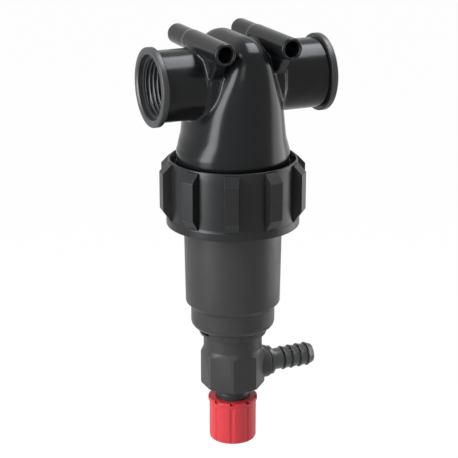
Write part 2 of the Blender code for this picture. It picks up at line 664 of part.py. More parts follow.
def drain_body(parts, guides, material):
    """Drain valve body: spigot, neck, octagon, side boss, lower neck, seat and passages."""
    top = -OCTAGON_TOP_DROP
    bottom = -OCTAGON_BOTTOM_DROP
    corner = OCTAGON_FLATS / 2 / math.cos(math.pi / SIDES)
    body = octagon("drain_body", OCTAGON_FLATS, bottom, top + OCTAGON_TURNED_DROP, parts)
    body.data.materials.append(material)
    inner = NECK_RADIUS - OVERRUN
    slope = [(inner, top + OCTAGON_TURNED_DROP + OVERRUN),
             (corner + OVERRUN, top + OCTAGON_TURNED_DROP + OVERRUN),
             (corner + OVERRUN, top - OCTAGON_TURNED_DROP),
             (corner, top - OCTAGON_TURNED_DROP / 2),
             (inner, top + OCTAGON_TURNED_DROP + OVERRUN / 2)]
    cut(body, as_guide(turned("octagon_turning", slope, guides, closed=True)))
    spigot = SOCKET_RADIUS - CLEARANCE
    groove = spigot - DRAIN_SEAL_RADIUS * 2
    seal_half = DRAIN_SEAL_RADIUS + CLEARANCE
    seal_height = -DRAIN_SEAL_DROP
    neck_top = BAYONET_BOTTOM - CLEARANCE
    outline = [(0.0, -SPIGOT_TOP_DROP),
               (spigot, -SPIGOT_TOP_DROP),
               (spigot, seal_height + seal_half),
               (groove, seal_height + seal_half),
               (groove, seal_height - seal_half),
               (spigot, seal_height - seal_half),
               (spigot, neck_top),
               (NECK_RADIUS, neck_top),
               (NECK_RADIUS, top - OCTAGON_TURNED_DROP),
               (DRAIN_NECK_RADIUS, top - OCTAGON_TURNED_DROP),
               (DRAIN_NECK_RADIUS, -DRAIN_NECK_END_DROP),
               (0.0, -DRAIN_NECK_END_DROP)]
    join(body, as_guide(turned("drain_core", outline, guides)))
    slot_top = BOWL_BOTTOM - SLOT_TOP_DROP
    boss = cylinder("side_boss", BOSS_RADIUS, (0.0, 0.0, TAIL_HEIGHT), (BOSS_REACH, 0.0, TAIL_HEIGHT), guides,
                    FINE_STEPS)
    join(body, boss)
    for i in range(LUG_COUNT):
        end = SLOT_START + SLOT_SWEEP + math.tau * i / LUG_COUNT
        gap = CLEARANCE / LUG_RADIUS
        lug = sector("bayonet_lug", spigot - OVERRUN / 2, LUG_RADIUS, slot_top - SLOT_HEIGHT + CLEARANCE,
                     slot_top - CLEARANCE, end - gap - LUG_SWEEP, LUG_SWEEP, guides, 3)
        join(body, lug)
    passage = [(0.0, -SPIGOT_TOP_DROP + OVERRUN),
               (SEAT_POCKET_RADIUS, -SPIGOT_TOP_DROP + OVERRUN),
               (SEAT_POCKET_RADIUS, SEAT),
               (SEAT_RADIUS, SEAT),
               (SEAT_RADIUS, -DRAIN_CHAMBER_TOP_DROP),
               (DRAIN_CHAMBER_RADIUS, -DRAIN_CHAMBER_TOP_DROP),
               (DRAIN_CHAMBER_RADIUS, -DRAIN_CHAMBER_FLOOR_DROP),
               (GUIDE_RADIUS, -DRAIN_CHAMBER_FLOOR_DROP),
               (GUIDE_RADIUS, -DRAIN_NECK_END_DROP - OVERRUN),
               (0.0, -DRAIN_NECK_END_DROP - OVERRUN)]
    cut(body, as_guide(turned("drain_passage", passage, guides, steps=FINE_STEPS)))
    socket_end = BOSS_REACH - TAIL_SOCKET_DEPTH
    socket = cylinder("tail_socket", TAIL_SOCKET_RADIUS, (socket_end, 0.0, TAIL_HEIGHT),
                      (BOSS_REACH + OVERRUN, 0.0, TAIL_HEIGHT), guides, FINE_STEPS)
    side_port = cylinder("side_port", TAIL_BORE_RADIUS, (0.0, 0.0, TAIL_HEIGHT),
                         (socket_end + OVERRUN, 0.0, TAIL_HEIGHT), guides, FINE_STEPS)
    return cut(body, socket, side_port)


def hose_tail(parts, material):
    """Barbed hose tail, turned about the side outlet's axis, with saw-tooth barbs facing the body."""
    plug = TAIL_SOCKET_RADIUS - CLEARANCE
    plug_end = BOSS_REACH - TAIL_SOCKET_DEPTH + CLEARANCE
    flange_low = BOSS_REACH + CLEARANCE
    seal_place = tail_seal_place()
    half = TAIL_SEAL_RADIUS + CLEARANCE
    groove = plug - TAIL_SEAL_RADIUS * 2
    tip_round = TAIL_CREST_RADIUS - TAIL_ROOT_RADIUS
    outline = [(TAIL_BORE_RADIUS, TAIL_REACH),
               (TAIL_ROOT_RADIUS - tip_round / 2, TAIL_REACH),
               (TAIL_ROOT_RADIUS, TAIL_REACH - tip_round / 2)]
    for i in reversed(range(BARB_COUNT)):
        step = BARB_FIRST + BARB_PITCH * i
        outline += [(TAIL_CREST_RADIUS, step), (TAIL_ROOT_RADIUS, step - CLEARANCE)]
    outline[-1] = (TAIL_SHANK_RADIUS, BARB_FIRST - CLEARANCE)
    outline += [(TAIL_SHANK_RADIUS, flange_low + TAIL_FLANGE_THICKNESS),
                (TAIL_FLANGE_RADIUS, flange_low + TAIL_FLANGE_THICKNESS),
                (TAIL_FLANGE_RADIUS, flange_low),
                (plug, flange_low),
                (plug, seal_place + half),
                (groove, seal_place + half),
                (groove, seal_place - half),
                (plug, seal_place - half),
                (plug, plug_end),
                (TAIL_BORE_RADIUS, plug_end)]
    tail = turned("hose_tail", outline, parts, material, FINE_STEPS, closed=True)
    tail.location = (0.0, 0.0, TAIL_HEIGHT)
    return lay_along_x(tail)


def tail_seal_place():
    return BOSS_REACH - TAIL_SOCKET_DEPTH / 2


def hose_tail_o_ring(parts, material):
    ring = TAIL_SOCKET_RADIUS - CLEARANCE - TAIL_SEAL_RADIUS
    section = TAIL_SEAL_RADIUS - CLEARANCE / 2
    seal = seal_ring("hose_tail_o_ring", ring, section, tail_seal_place(), parts, material, FINE_STEPS)
    seal.location = (0.0, 0.0, TAIL_HEIGHT)
    return lay_along_x(seal)


def piston_seal_places():
    top = -PISTON_TOP_DROP
    return (top - PISTON_SEAL_INSET, top - PISTON_LENGTH + PISTON_SEAL_INSET)


def poppet_stem(parts, guides, material):
    """Poppet, rod and guide piston in one turned piece, with its foot in the knob."""
    seal_top = SEAT + CLEARANCE + POPPET_SEAL_THICKNESS
    poppet_low = seal_top + CLEARANCE
    piston_top = -PISTON_TOP_DROP
    piston_low = piston_top - PISTON_LENGTH
    foot = KNOB_BOTTOM + KNOB_FLOOR + CLEARANCE
    half = PISTON_SEAL_RADIUS + CLEARANCE / 2
    outline = [(0.0, poppet_low + POPPET_THICKNESS),
               (POPPET_RADIUS - CLEARANCE * 2, poppet_low + POPPET_THICKNESS),
               (POPPET_RADIUS, poppet_low + POPPET_THICKNESS - CLEARANCE * 2),
               (POPPET_RADIUS, poppet_low),
               (ROD_RADIUS, poppet_low),
               (ROD_RADIUS, piston_top),
               (PISTON_RADIUS, piston_top)]
    for place_z in piston_seal_places():
        outline += [(PISTON_RADIUS, place_z + half),
                    (PISTON_GROOVE_RADIUS, place_z + half),
                    (PISTON_GROOVE_RADIUS, place_z - half),
                    (PISTON_RADIUS, place_z - half)]
    outline += [(PISTON_RADIUS, piston_low),
                (ROD_RADIUS, piston_low),
                (ROD_RADIUS, foot),
                (0.0, foot)]
    stem = turned("poppet_stem", outline, parts, material, FINE_STEPS)
    hole = cylinder("stem_screw_hole", SCREW_SHANK_RADIUS + CLEARANCE, (0.0, 0.0, foot - OVERRUN),
                    (0.0, 0.0, foot + SCREW_LENGTH), guides, FINE_STEPS)
    return cut(stem, hole)


def poppet_seal(parts, material):
    """Flat ring under the poppet that closes the seat."""
    low = SEAT + CLEARANCE
    high = low + POPPET_SEAL_THICKNESS
    inner = ROD_RADIUS + CLEARANCE
    outline = [(inner, high), (POPPET_RADIUS, high), (POPPET_RADIUS, low), (inner, low)]
    return turned("poppet_seal", outline, parts, material, FINE_STEPS, closed=True)


def stem_o_rings(parts, material):
    ring = (PISTON_GROOVE_RADIUS + GUIDE_RADIUS) / 2
    upper, lower = piston_seal_places()
    for name, height in (("stem_upper_o_ring", upper), ("stem_lower_o_ring", lower)):
        seal_ring(name, ring, PISTON_SEAL_RADIUS, height, parts, material, FINE_STEPS)


def drain_knob(parts, guides, material):
    """Fluted knob: rim, body with vertical flutes, a bore over the thread neck and a screw pocket."""
    bore = DRAIN_NECK_RADIUS + CLEARANCE
    floor = KNOB_BOTTOM + KNOB_FLOOR
    rim_low = KNOB_TOP - KNOB_RIM_HEIGHT
    edge = CLEARANCE
    hole = SCREW_SHANK_RADIUS + CLEARANCE
    outline = [(KNOB_RIM_RADIUS - edge, KNOB_TOP),
               (KNOB_RIM_RADIUS, KNOB_TOP - edge),
               (KNOB_RIM_RADIUS, rim_low + edge),
               (KNOB_BODY_RADIUS, rim_low),
               (KNOB_BODY_RADIUS, KNOB_BOTTOM + KNOB_CHAMFER),
               (KNOB_BODY_RADIUS - KNOB_CHAMFER, KNOB_BOTTOM),
               (SCREW_POCKET_RADIUS, KNOB_BOTTOM),
               (SCREW_POCKET_RADIUS, KNOB_BOTTOM + SCREW_POCKET_DEPTH),
               (hole, KNOB_BOTTOM + SCREW_POCKET_DEPTH),
               (hole, floor),
               (bore, floor),
               (bore, KNOB_TOP)]
    knob = turned("drain_knob", outline, parts, material, KNOB_STEPS, closed=True)
    reach = KNOB_BODY_RADIUS + FLUTE_INSET
    for i in range(FLUTE_COUNT):
        angle = FLUTE_FIRST_ANGLE + math.tau * i / FLUTE_COUNT
        x, y = reach * math.cos(angle), reach * math.sin(angle)
        flute = cylinder("knob_flute", FLUTE_RADIUS, (x, y, KNOB_BOTTOM - OVERRUN),
                         (x, y, rim_low - FLUTE_TOP_GAP), guides, FLUTE_SIDES)
        cut(knob, flute)
    return knob


def knob_screw(parts, material):
    """Pan-head screw from below through the knob's floor into the stem."""
    seat = KNOB_BOTTOM + SCREW_POCKET_DEPTH - CLEARANCE
    low = seat - SCREW_HEAD_HEIGHT
    tip = seat + SCREW_LENGTH
    outline = [(0.0, tip),
               (SCREW_SHANK_RADIUS, tip - SCREW_SHANK_RADIUS),
               (SCREW_SHANK_RADIUS, seat),
               (SCREW_HEAD_RADIUS, seat),
               (SCREW_HEAD_RADIUS, low + CLEARANCE * 2),
               (SCREW_HEAD_RADIUS - CLEARANCE * 2, low),
               (0.0, low)]
    return turned("knob_screw", outline, parts, material, FINE_STEPS)


def cartridge_top_ring(parts, material):
    """Collar of the cartridge, a sliding fit over the head's spigot, with a groove for its seal."""
    low = CARTRIDGE_TOP - CARTRIDGE_RING_HEIGHT
    inner = SPIGOT_RADIUS + CLEARANCE
    middle = cartridge_seal_height()
    half = CARTRIDGE_SEAL_RADIUS + CLEARANCE
    groove = inner + CARTRIDGE_SEAL_RADIUS * 2
    rebate = CAGE_RADIUS + MESH_THICKNESS + CLEARANCE * 2
    outline = [(CARTRIDGE_RADIUS, CARTRIDGE_TOP),
               (CARTRIDGE_RADIUS, low),
               (rebate, low),
               (rebate, low + CLEARANCE * 4),
               (inner, low + CLEARANCE * 4),
               (inner, middle - half),
               (groove, middle - half),
               (groove, middle + half),
               (inner, middle + half),
               (inner, CARTRIDGE_TOP)]
    return turned("cartridge_top_ring", outline, parts, material, closed=True)


def cartridge_seal_height():
    return CARTRIDGE_TOP - CARTRIDGE_RING_HEIGHT / 2


def cartridge_top_seal(parts, material):
    ring = SPIGOT_RADIUS + CLEARANCE + CARTRIDGE_SEAL_RADIUS
    section = CARTRIDGE_SEAL_RADIUS - CLEARANCE / 2
    return seal_ring("cartridge_top_seal", ring, section, cartridge_seal_height(), parts, material)


def cage_span():
    """Lowest and highest height of the cage and mesh between the cartridge's two ends."""
    low = CARTRIDGE_BASE + CARTRIDGE_CAP_HEIGHT + CLEARANCE
    return low, CARTRIDGE_TOP - CARTRIDGE_RING_HEIGHT + CLEARANCE * 3


def cage_hoop(name, middle, collection, material=None):
    """One ring of the cage, turned about Z at its own height."""
    inner = CAGE_RADIUS - CAGE_DEPTH
    low, high = middle - HOOP_HEIGHT / 2, middle + HOOP_HEIGHT / 2
    outline = [(CAGE_RADIUS, high), (CAGE_RADIUS, low), (inner, low), (inner, high)]
    return turned(name, outline, collection, material, FINE_STEPS, closed=True)


def cartridge_frame(parts, guides, material):
    """Cage: hoops turned about Z, joined by upright bars."""
    low, high = cage_span()
    inner = CAGE_RADIUS - CAGE_DEPTH
    frame = cage_hoop("cartridge_frame", low + HOOP_HEIGHT / 2, parts, material)
    for i in range(1, HOOP_COUNT):
        middle = low + HOOP_HEIGHT / 2 + (high - low - HOOP_HEIGHT) * i / (HOOP_COUNT - 1)
        join(frame, cage_hoop("cage_hoop", middle, guides))
    inset = CAGE_BAR_WIDTH * CAGE_BAR_WIDTH / CAGE_RADIUS
    for i in range(CAGE_BAR_COUNT):
        bar = block("cage_bar", (inner + inset, -CAGE_BAR_WIDTH / 2, low),
                    (CAGE_RADIUS - inset, CAGE_BAR_WIDTH / 2, high), guides)
        bar.rotation_euler = (0.0, 0.0, math.tau * (i + 0.5) / CAGE_BAR_COUNT)
        join(frame, bar)
    return frame


def cartridge_mesh(parts, material):
    """Mesh sleeve round the cage, a thin turned wall."""
    low, high = cage_span()
    inner = CAGE_RADIUS + CLEARANCE
    outer = inner + MESH_THICKNESS
    outline = [(outer, high), (outer, low), (inner, low), (inner, high)]
    return turned("cartridge_mesh", outline, parts, material, closed=True)


def cartridge_bottom_cap(parts, guides, material):
    """Closed end of the cartridge, with feet that stand on the bowl's ledge."""
    top = CARTRIDGE_BASE + CARTRIDGE_CAP_HEIGHT
    rim = CARTRIDGE_RADIUS
    rebate = CAGE_RADIUS + MESH_THICKNESS + CLEARANCE * 2
    outline = [(0.0, top),
               (rebate, top),
               (rebate, top + CLEARANCE * 4),
               (rim, top + CLEARANCE * 4),
               (rim, CARTRIDGE_BASE),
               (0.0, CARTRIDGE_BASE)]
    cap = turned("cartridge_bottom_cap", outline, parts, material)
    reach = BOWL_FOOT_RADIUS - BOWL_WALL - CLEARANCE * 2
    for i in range(CARTRIDGE_FOOT_COUNT):
        foot = block("cartridge_foot", (rim / 2, -CARTRIDGE_FOOT_WIDTH / 2, LEDGE + CLEARANCE),
                     (reach, CARTRIDGE_FOOT_WIDTH / 2, CARTRIDGE_BASE + CARTRIDGE_CAP_HEIGHT / 2), guides)
        foot.rotation_euler = (0.0, 0.0, math.tau * (i + 0.5) / CARTRIDGE_FOOT_COUNT)
        join(cap, foot)
    return cap


def bowl_o_ring(parts, material):
    groove_centre = (BOWL_FLANGE_RADIUS + BOWL_INNER_RADIUS) / 2
    return seal_ring("bowl_o_ring", groove_centre, BOWL_RIM_SEAL_RADIUS - CLEARANCE / 2,
                     BOWL_TOP - BOWL_RIM_SEAL_RADIUS, parts, material)


def drain_body_o_ring(parts, material):
    ring = SOCKET_RADIUS - CLEARANCE - DRAIN_SEAL_RADIUS
    return seal_ring("drain_body_o_ring", ring, DRAIN_SEAL_RADIUS - CLEARANCE / 2, -DRAIN_SEAL_DROP,
                     parts, material)


def build():
    clear_scene()
    parts = new_collection("inline_filter")
    guides = new_collection("guides")
    gloss_black = plastic("gloss_black_moulding", (0.012, 0.012, 0.013), 0.22)
    nut_black = plastic("satin_black_moulding", (0.02, 0.02, 0.021), 0.42)
    bowl_grey = plastic("satin_grey_moulding", (0.07, 0.066, 0.062), 0.42)
    tail_black = plastic("hose_tail_black", (0.012, 0.012, 0.013), 0.2)
    knob_red = plastic("knob_red", (0.6, 0.045, 0.07), 0.38)
    cage_white = plastic("cage_moulding", (0.55, 0.56, 0.55), 0.45)
    rubber = plastic("seal_rubber", (0.015, 0.015, 0.015), 0.7)
    steel = plastic("stainless", (0.6, 0.6, 0.6), 0.3, 1.0)
    head_body(parts, guides, gloss_black)
    head_skirt(parts, gloss_black)
    head_spigot(parts, gloss_black)
    head_port("inlet_port", -1, INLET_REACH, parts, gloss_black)
    head_port("outlet_port", 1, OUTLET_REACH, parts, gloss_black)
    mounting_tube("mounting_tube_left", -1, parts, gloss_black)
    mounting_tube("mounting_tube_right", 1, parts, gloss_black)
    ring_nut(parts, guides, nut_black)
    bowl(parts, guides, bowl_grey)
    bowl_o_ring(parts, rubber)
    cartridge_top_ring(parts, cage_white)
    cartridge_top_seal(parts, rubber)
    cartridge_frame(parts, guides, cage_white)
    cartridge_mesh(parts, steel)
    cartridge_bottom_cap(parts, guides, cage_white)
    drain_body(parts, guides, bowl_grey)
    drain_body_o_ring(parts, rubber)
    hose_tail(parts, tail_black)
    hose_tail_o_ring(parts, rubber)
    poppet_stem(parts, guides, tail_black)
    poppet_seal(parts, rubber)
    stem_o_rings(parts, rubber)
    drain_knob(parts, guides, knob_red)
    knob_screw(parts, steel)


build()
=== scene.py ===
# %% [markdown]
# # An inline strainer in black, grey and red plastic
# A sprayer's line strainer hangs between two pipes. Liquid enters one threaded port, passes a
# filter cartridge in the bowl, and leaves by the other port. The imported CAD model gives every
# size and place, and this lesson dresses it: smooth mouldings, port threads, finishes and light.

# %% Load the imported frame
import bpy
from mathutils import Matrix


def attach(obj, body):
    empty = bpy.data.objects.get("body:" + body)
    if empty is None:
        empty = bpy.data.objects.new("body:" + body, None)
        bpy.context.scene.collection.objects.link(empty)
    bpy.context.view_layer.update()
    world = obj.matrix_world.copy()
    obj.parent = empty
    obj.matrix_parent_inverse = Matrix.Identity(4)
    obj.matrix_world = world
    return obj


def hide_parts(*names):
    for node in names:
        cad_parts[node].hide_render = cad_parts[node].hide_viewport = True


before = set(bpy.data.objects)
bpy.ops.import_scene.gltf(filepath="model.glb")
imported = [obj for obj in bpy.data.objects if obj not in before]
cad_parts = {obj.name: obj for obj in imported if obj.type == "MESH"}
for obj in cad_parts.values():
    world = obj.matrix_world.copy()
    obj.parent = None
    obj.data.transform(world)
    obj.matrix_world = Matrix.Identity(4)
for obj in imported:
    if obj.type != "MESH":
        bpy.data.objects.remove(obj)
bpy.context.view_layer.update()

# %% Imports and the model's box
import math

import bpy
from mathutils import Vector
from mathutils.bvhtree import BVHTree

mm = 0.001
bpy.ops.object.select_all(action="DESELECT")
bpy.context.scene.view_settings.view_transform = "Standard"

# %% [markdown]
# ## The camera first
# The photograph was taken from the front left and a little above, with a long lens. The camera
# stands where the port flanges, the nut and the knob fall on the same places as in the picture.

# %% Place the camera
turn, rise = math.radians(24.0), math.radians(17.99)
distance, lens = 872.64 * mm, 122.68
right_way = Vector((math.cos(turn), -math.sin(turn), 0.0))
target = right_way * -2.158 * mm + Vector((0.0, 0.0, -85.137 * mm))
away = Vector((math.sin(turn) * math.cos(rise), math.cos(turn) * math.cos(rise), -math.sin(rise)))
bpy.ops.object.camera_add(location=target - away * distance)
camera = bpy.context.object
camera.rotation_euler = away.to_track_quat("-Z", "Y").to_euler()
camera.data.lens = lens
camera.data.sensor_width = 36.0
camera.data.clip_start = 0.01
bpy.context.scene.camera = camera
print("camera at", [round(v, 4) for v in camera.location])

# %% [markdown]
# ## A lathe made of extrusions
# Nearly every moulding here is round. By hand one adds a circle, extrudes it, scales the new
# ring and moves it, and goes on down the outline. The helper does the same, ring by ring, so
# any outline of radius and height can be followed.

# %% Name a piece, and turn one
def take(name):
    """Name the active object and its mesh."""
    bpy.context.object.name = name
    bpy.context.object.data.name = name
    return bpy.context.object


def lathe(name, outline, steps=128, closed=False, start=0.0):
    """Turn an outline of (radius, height) points in millimetres about Z, by extruding rings."""
    bpy.ops.object.select_all(action="DESELECT")
    radius, height = outline[0]
    bpy.ops.mesh.primitive_circle_add(vertices=steps, radius=radius * mm, location=(0.0, 0.0, height * mm))
    piece = take(name)
    bpy.ops.object.transform_apply(location=True, rotation=True, scale=True)
    bpy.ops.object.mode_set(mode="EDIT")
    bpy.ops.mesh.select_all(action="SELECT")
    for next_radius, next_height in outline[1:]:
        bpy.ops.mesh.extrude_region_move()
        grow = next_radius / radius
        bpy.ops.transform.resize(value=(grow, grow, 1.0), center_override=(0.0, 0.0, 0.0))
        bpy.ops.transform.translate(value=(0.0, 0.0, (next_height - height) * mm))
        radius, height = next_radius, next_height
    bpy.ops.mesh.select_all(action="SELECT")
    bpy.ops.mesh.region_to_loop()
    if closed:
        bpy.ops.mesh.bridge_edge_loops()
    else:
        bpy.ops.mesh.edge_face_add()
    bpy.ops.mesh.select_all(action="SELECT")
    bpy.ops.mesh.normals_make_consistent(inside=False)
    if start:
        bpy.ops.transform.rotate(value=-start, orient_axis="Z", center_override=(0.0, 0.0, 0.0))
    bpy.ops.object.mode_set(mode="OBJECT")
    return piece


trial = lathe("trial", [(10.0, 0.0), (12.0, -5.0), (8.0, -9.0)], 16)
print("a trial turning has", len(trial.data.polygons), "faces")
bpy.data.objects.remove(trial)

# %% [markdown]
# ## Small helpers for handwork
# Operators work on what is selected, so each step first selects one piece alone. A modifier is
# added, set and applied at once, because a finished piece should be plain mesh. A piece that was
# turned or moved as an object gets its place written into its mesh. Boxes and bars are the rough
# stock that cutters and ribs start from, and an arc gives an outline its rounded edges.

# %% Select, settle and modify
def only(*pieces):
    """Select these pieces alone; the first is active."""
    bpy.ops.object.select_all(action="DESELECT")
    for piece in pieces:
        piece.select_set(True)
    bpy.context.view_layer.objects.active = pieces[0]


def settle(piece, turn=(0.0, 0.0, 0.0), place=(0.0, 0.0, 0.0)):
    """Turn and move a piece, places in millimetres, and write that into its mesh."""
    only(piece)
    piece.rotation_euler = turn
    piece.location = Vector(place) * mm
    bpy.ops.object.transform_apply(location=True, rotation=True, scale=True)
    return piece


def modify(piece, kind, **settings):
    """Add one modifier, set it and apply it."""
    only(piece)
    bpy.ops.object.modifier_add(type=kind)
    modifier = piece.modifiers[-1]
    for key, value in settings.items():
        setattr(modifier, key, value)
    bpy.ops.object.modifier_apply(modifier=modifier.name)
    return piece


print("handling:", only.__name__, settle.__name__, modify.__name__)

# %% Cut and join pieces
def carve(piece, operation, *tools):
    """Boolean with each tool in turn; the tools are used up."""
    for tool in tools:
        modify(piece, "BOOLEAN", object=tool, operation=operation, solver="EXACT")
        bpy.data.objects.remove(tool)
    return piece


def gather(piece, *others):
    """Join other pieces into the first one."""
    if others:
        only(piece, *others)
        bpy.ops.object.join()
    return piece


print("joining:", carve.__name__, gather.__name__)

# %% Boxes, bars, shading and arcs
def box(name, low, high):
    """A box between two corners in millimetres, ready to be shaped."""
    low, high = Vector(low), Vector(high)
    bpy.ops.object.select_all(action="DESELECT")
    bpy.ops.mesh.primitive_cube_add(size=1.0, location=(low + high) / 2 * mm, scale=(high - low) * mm)
    piece = take(name)
    bpy.ops.object.transform_apply(location=True, rotation=True, scale=True)
    return piece


def bar(name, radius, start, end, steps=96):
    """A round bar between two points in millimetres."""
    span = Vector(end) - Vector(start)
    bpy.ops.object.select_all(action="DESELECT")
    bpy.ops.mesh.primitive_cylinder_add(vertices=steps, radius=radius * mm, depth=span.length * mm)
    return settle(take(name), span.to_track_quat("Z", "Y").to_euler(), (Vector(start) + Vector(end)) / 2)


def smooth(piece, degrees=32.0):
    """Smooth shading, with creases left sharp."""
    only(piece)
    bpy.ops.object.shade_smooth_by_angle(angle=math.radians(degrees))
    return piece


def arc(centre, radius, first, last, count=6):
    """Points of a round stretch of an outline; angles in degrees, 0 outwards and 90 upwards."""
    angles = [math.radians(first + (last - first) * i / count) for i in range(count + 1)]
    return [(centre[0] + radius * math.cos(a), centre[1] + radius * math.sin(a)) for a in angles]


print("a quarter arc has", len(arc((0.0, 0.0), 1.0, 0.0, 90.0)), "points")

# %% [markdown]
# ## Finishes
# All the mouldings share one kind of finish: a plain colour with slow cloudy variation, a gloss
# that wanders a little, and the very fine pebbling that a mould leaves. Noise textures on the
# object's own coordinates give all three, so nothing slides when a piece moves. Only the numbers
# differ between the glossy head, the satin nut, the grey bowl and the red knob.

# %% Textures on object coordinates
def noise(tree, scale, detail):
    """A noise texture on the object's own coordinates."""
    texture = tree.nodes.new("ShaderNodeTexNoise")
    texture.inputs["Scale"].default_value = scale
    texture.inputs["Detail"].default_value = detail
    place = tree.nodes.new("ShaderNodeTexCoord")
    tree.links.new(place.outputs["Object"], texture.inputs["Vector"])
    return texture.outputs["Fac"]


def tinted(tree, share, dark, light):
    """Base colour between dark and light, by a share from 0 to 1."""
    tint = tree.nodes.new("ShaderNodeMix")
    tint.data_type = "RGBA"
    tint.inputs["A"].default_value = (*dark, 1.0)
    tint.inputs["B"].default_value = (*light, 1.0)
    tree.links.new(share, tint.inputs["Factor"])
    tree.links.new(tint.outputs["Result"], tree.nodes["Principled BSDF"].inputs["Base Color"])


def raised(tree, height, strength, depth):
    """Bump on the surface; the depth in millimetres."""
    bump = tree.nodes.new("ShaderNodeBump")
    bump.inputs["Strength"].default_value = strength
    bump.inputs["Distance"].default_value = depth * mm
    tree.links.new(height, bump.inputs["Height"])
    tree.links.new(bump.outputs["Normal"], tree.nodes["Principled BSDF"].inputs["Normal"])


print("texture helpers:", noise.__name__, tinted.__name__, raised.__name__)

# %% One recipe for every moulding
def moulding(name, colour, gloss, cloud=0.12, pebble=0.12, pebble_scale=1400.0, specular=0.22):
    """A moulded plastic: colour, roughness as (low, high), cloudiness and depth of the pebbling."""
    material = bpy.data.materials.new(name)
    material.use_nodes = True
    tree = material.node_tree
    shader = tree.nodes["Principled BSDF"]
    shader.inputs["Specular IOR Level"].default_value = specular
    dark, light = [c * (1.0 - cloud) for c in colour], [c * (1.0 + cloud) for c in colour]
    tinted(tree, noise(tree, 55.0, 4.0), dark, light)
    spread = tree.nodes.new("ShaderNodeMapRange")
    for socket, value in (("From Min", 0.3), ("From Max", 0.7), ("To Min", gloss[0]), ("To Max", gloss[1])):
        spread.inputs[socket].default_value = value
    tree.links.new(noise(tree, 170.0, 6.0), spread.inputs["Value"])
    tree.links.new(spread.outputs["Result"], shader.inputs["Roughness"])
    raised(tree, noise(tree, pebble_scale, 3.0), pebble, 0.02)
    return material


print("one recipe:", moulding.__name__)

# %% The strainer's plastics and rubber
gloss_black = moulding("gloss_black_moulding", (0.005, 0.0052, 0.0056), (0.19, 0.24), pebble=0.1,
                       specular=0.16)
nut_black = moulding("satin_black_moulding", (0.007, 0.0071, 0.0073), (0.3, 0.38), pebble=0.3, specular=0.2)
bowl_grey = moulding("satin_grey_moulding", (0.017, 0.0165, 0.0156), (0.36, 0.44), pebble=0.35)
tail_black = moulding("tail_black_moulding", (0.022, 0.0224, 0.0228), (0.26, 0.32), pebble=0.15, specular=0.4)
# The port ends are the head's black with a rougher, stronger gloss; their lighter base colour is painted
# light that brightens the port recesses and threads.
port_black_painted_light = moulding("port_black_moulding", (0.014, 0.0142, 0.0146), (0.36, 0.44), pebble=0.15, specular=0.4)
knob_red = moulding("knob_red_moulding", (0.31, 0.02, 0.025), (0.3, 0.4), cloud=0.06, pebble=0.3,
                    specular=0.16)
cage_white = moulding("cage_white_moulding", (0.55, 0.56, 0.55), (0.4, 0.5), cloud=0.04, pebble=0.3)
seal_rubber = moulding("seal_rubber", (0.014, 0.014, 0.0145), (0.55, 0.7), pebble=0.5, pebble_scale=900.0)
print("mouldings:", [m.name for m in (gloss_black, nut_black, bowl_grey, tail_black, port_black_painted_light, knob_red)])

# %% [markdown]
# ## Dressing a piece
# Every finished piece gets its material, rides on the body that carries it, and hides the CAD
# nodes that it stands for.

# %% Dress a piece
def dress(piece, material, body, slot, *nodes):
    """Finish a piece: material, body, slot (not used), and the CAD nodes it stands for."""
    piece.data.materials.clear()
    piece.data.materials.append(material)
    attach(piece, body)
    if nodes:
        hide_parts(*nodes)
    print(piece.name, "rides on", body, "with", len(piece.data.polygons), "faces")
    return piece


# %% [markdown]
# ## The head's hood
# The head is one glossy moulding. Its middle is a round column that is pinched in from the left
# and the right until it ends in a narrow rounded hood between the two tubes. From the front its
# outline is a bell; from the side it stays nearly upright and rounds over at the top. A turned
# column gives the rings, and then each point is drawn in to the bell's width at its own height,
# read from a short table through a smooth curve. The pinch is a superellipse, so the edges of the
# bell stay generously round.

# %% The hood's table of widths and depths
column_radius, hood_top, hood_foot, split = 31.3, 26.2, -38.0, -44.5
# share of the hood's height, half width and half depth as shares of the column's radius
hood_shares = [(0.0, 1.6, 1.0), (0.1, 1.13, 1.0), (0.2, 1.0, 1.0), (0.36, 0.88, 1.0), (0.5, 0.73, 1.0),
               (0.62, 0.59, 1.0), (0.72, 0.49, 0.99), (0.82, 0.4, 0.95), (0.9, 0.31, 0.87),
               (0.96, 0.2, 0.72), (0.99, 0.11, 0.55), (1.0, 0.05, 0.42)]


def slope(table, k, column):
    """The rise of one column at row k, from its neighbours."""
    low, high = table[max(k - 1, 0)], table[min(k + 1, len(table) - 1)]
    return (high[column] - low[column]) / (high[0] - low[0])


def along(table, share, column):
    """Read one column of a table at a share of the way, as a smooth curve through its points."""
    i = max(k for k in range(len(table) - 1) if table[k][0] <= share or k == 0)
    span = table[i + 1][0] - table[i][0]
    t = min(max((share - table[i][0]) / span, 0.0), 1.0)
    start, end = table[i][column], table[i + 1][column]
    return ((2 * t ** 3 - 3 * t ** 2 + 1) * start + (t ** 3 - 2 * t ** 2 + t) * slope(table, i, column) * span
            + (3 * t ** 2 - 2 * t ** 3) * end + (t ** 3 - t ** 2) * slope(table, i + 1, column) * span)


print("hood half way up:", round(along(hood_shares, 0.5, 1) * column_radius, 2), "mm to each side")

# %% The hood
def hood_form(rings=110, rounding=4.6, crowding=1.35):
    """The column and its hood as one closed form; crowding brings the rings closer near the top."""
    hood_rise = hood_top - hood_foot
    outline = [(column_radius, split)]
    outline += [(column_radius, hood_foot + hood_rise * (1.0 - (1.0 - i / rings) ** crowding))
                for i in range(rings + 1)]
    hood = lathe("head_shell", outline, 288)
    for vertex in hood.data.vertices:
        share = min((vertex.co.z / mm - hood_foot) / hood_rise, 1.0)
        if share >= 0.0:
            width = along(hood_shares, share, 1) * column_radius
            depth = along(hood_shares, share, 2) * column_radius
            way = vertex.co.xy.normalized()
            reach = ((abs(way.x) / width) ** rounding + (1.0 / depth) ** rounding) ** (-1.0 / rounding)
            vertex.co.xy = way * reach * mm
    return hood


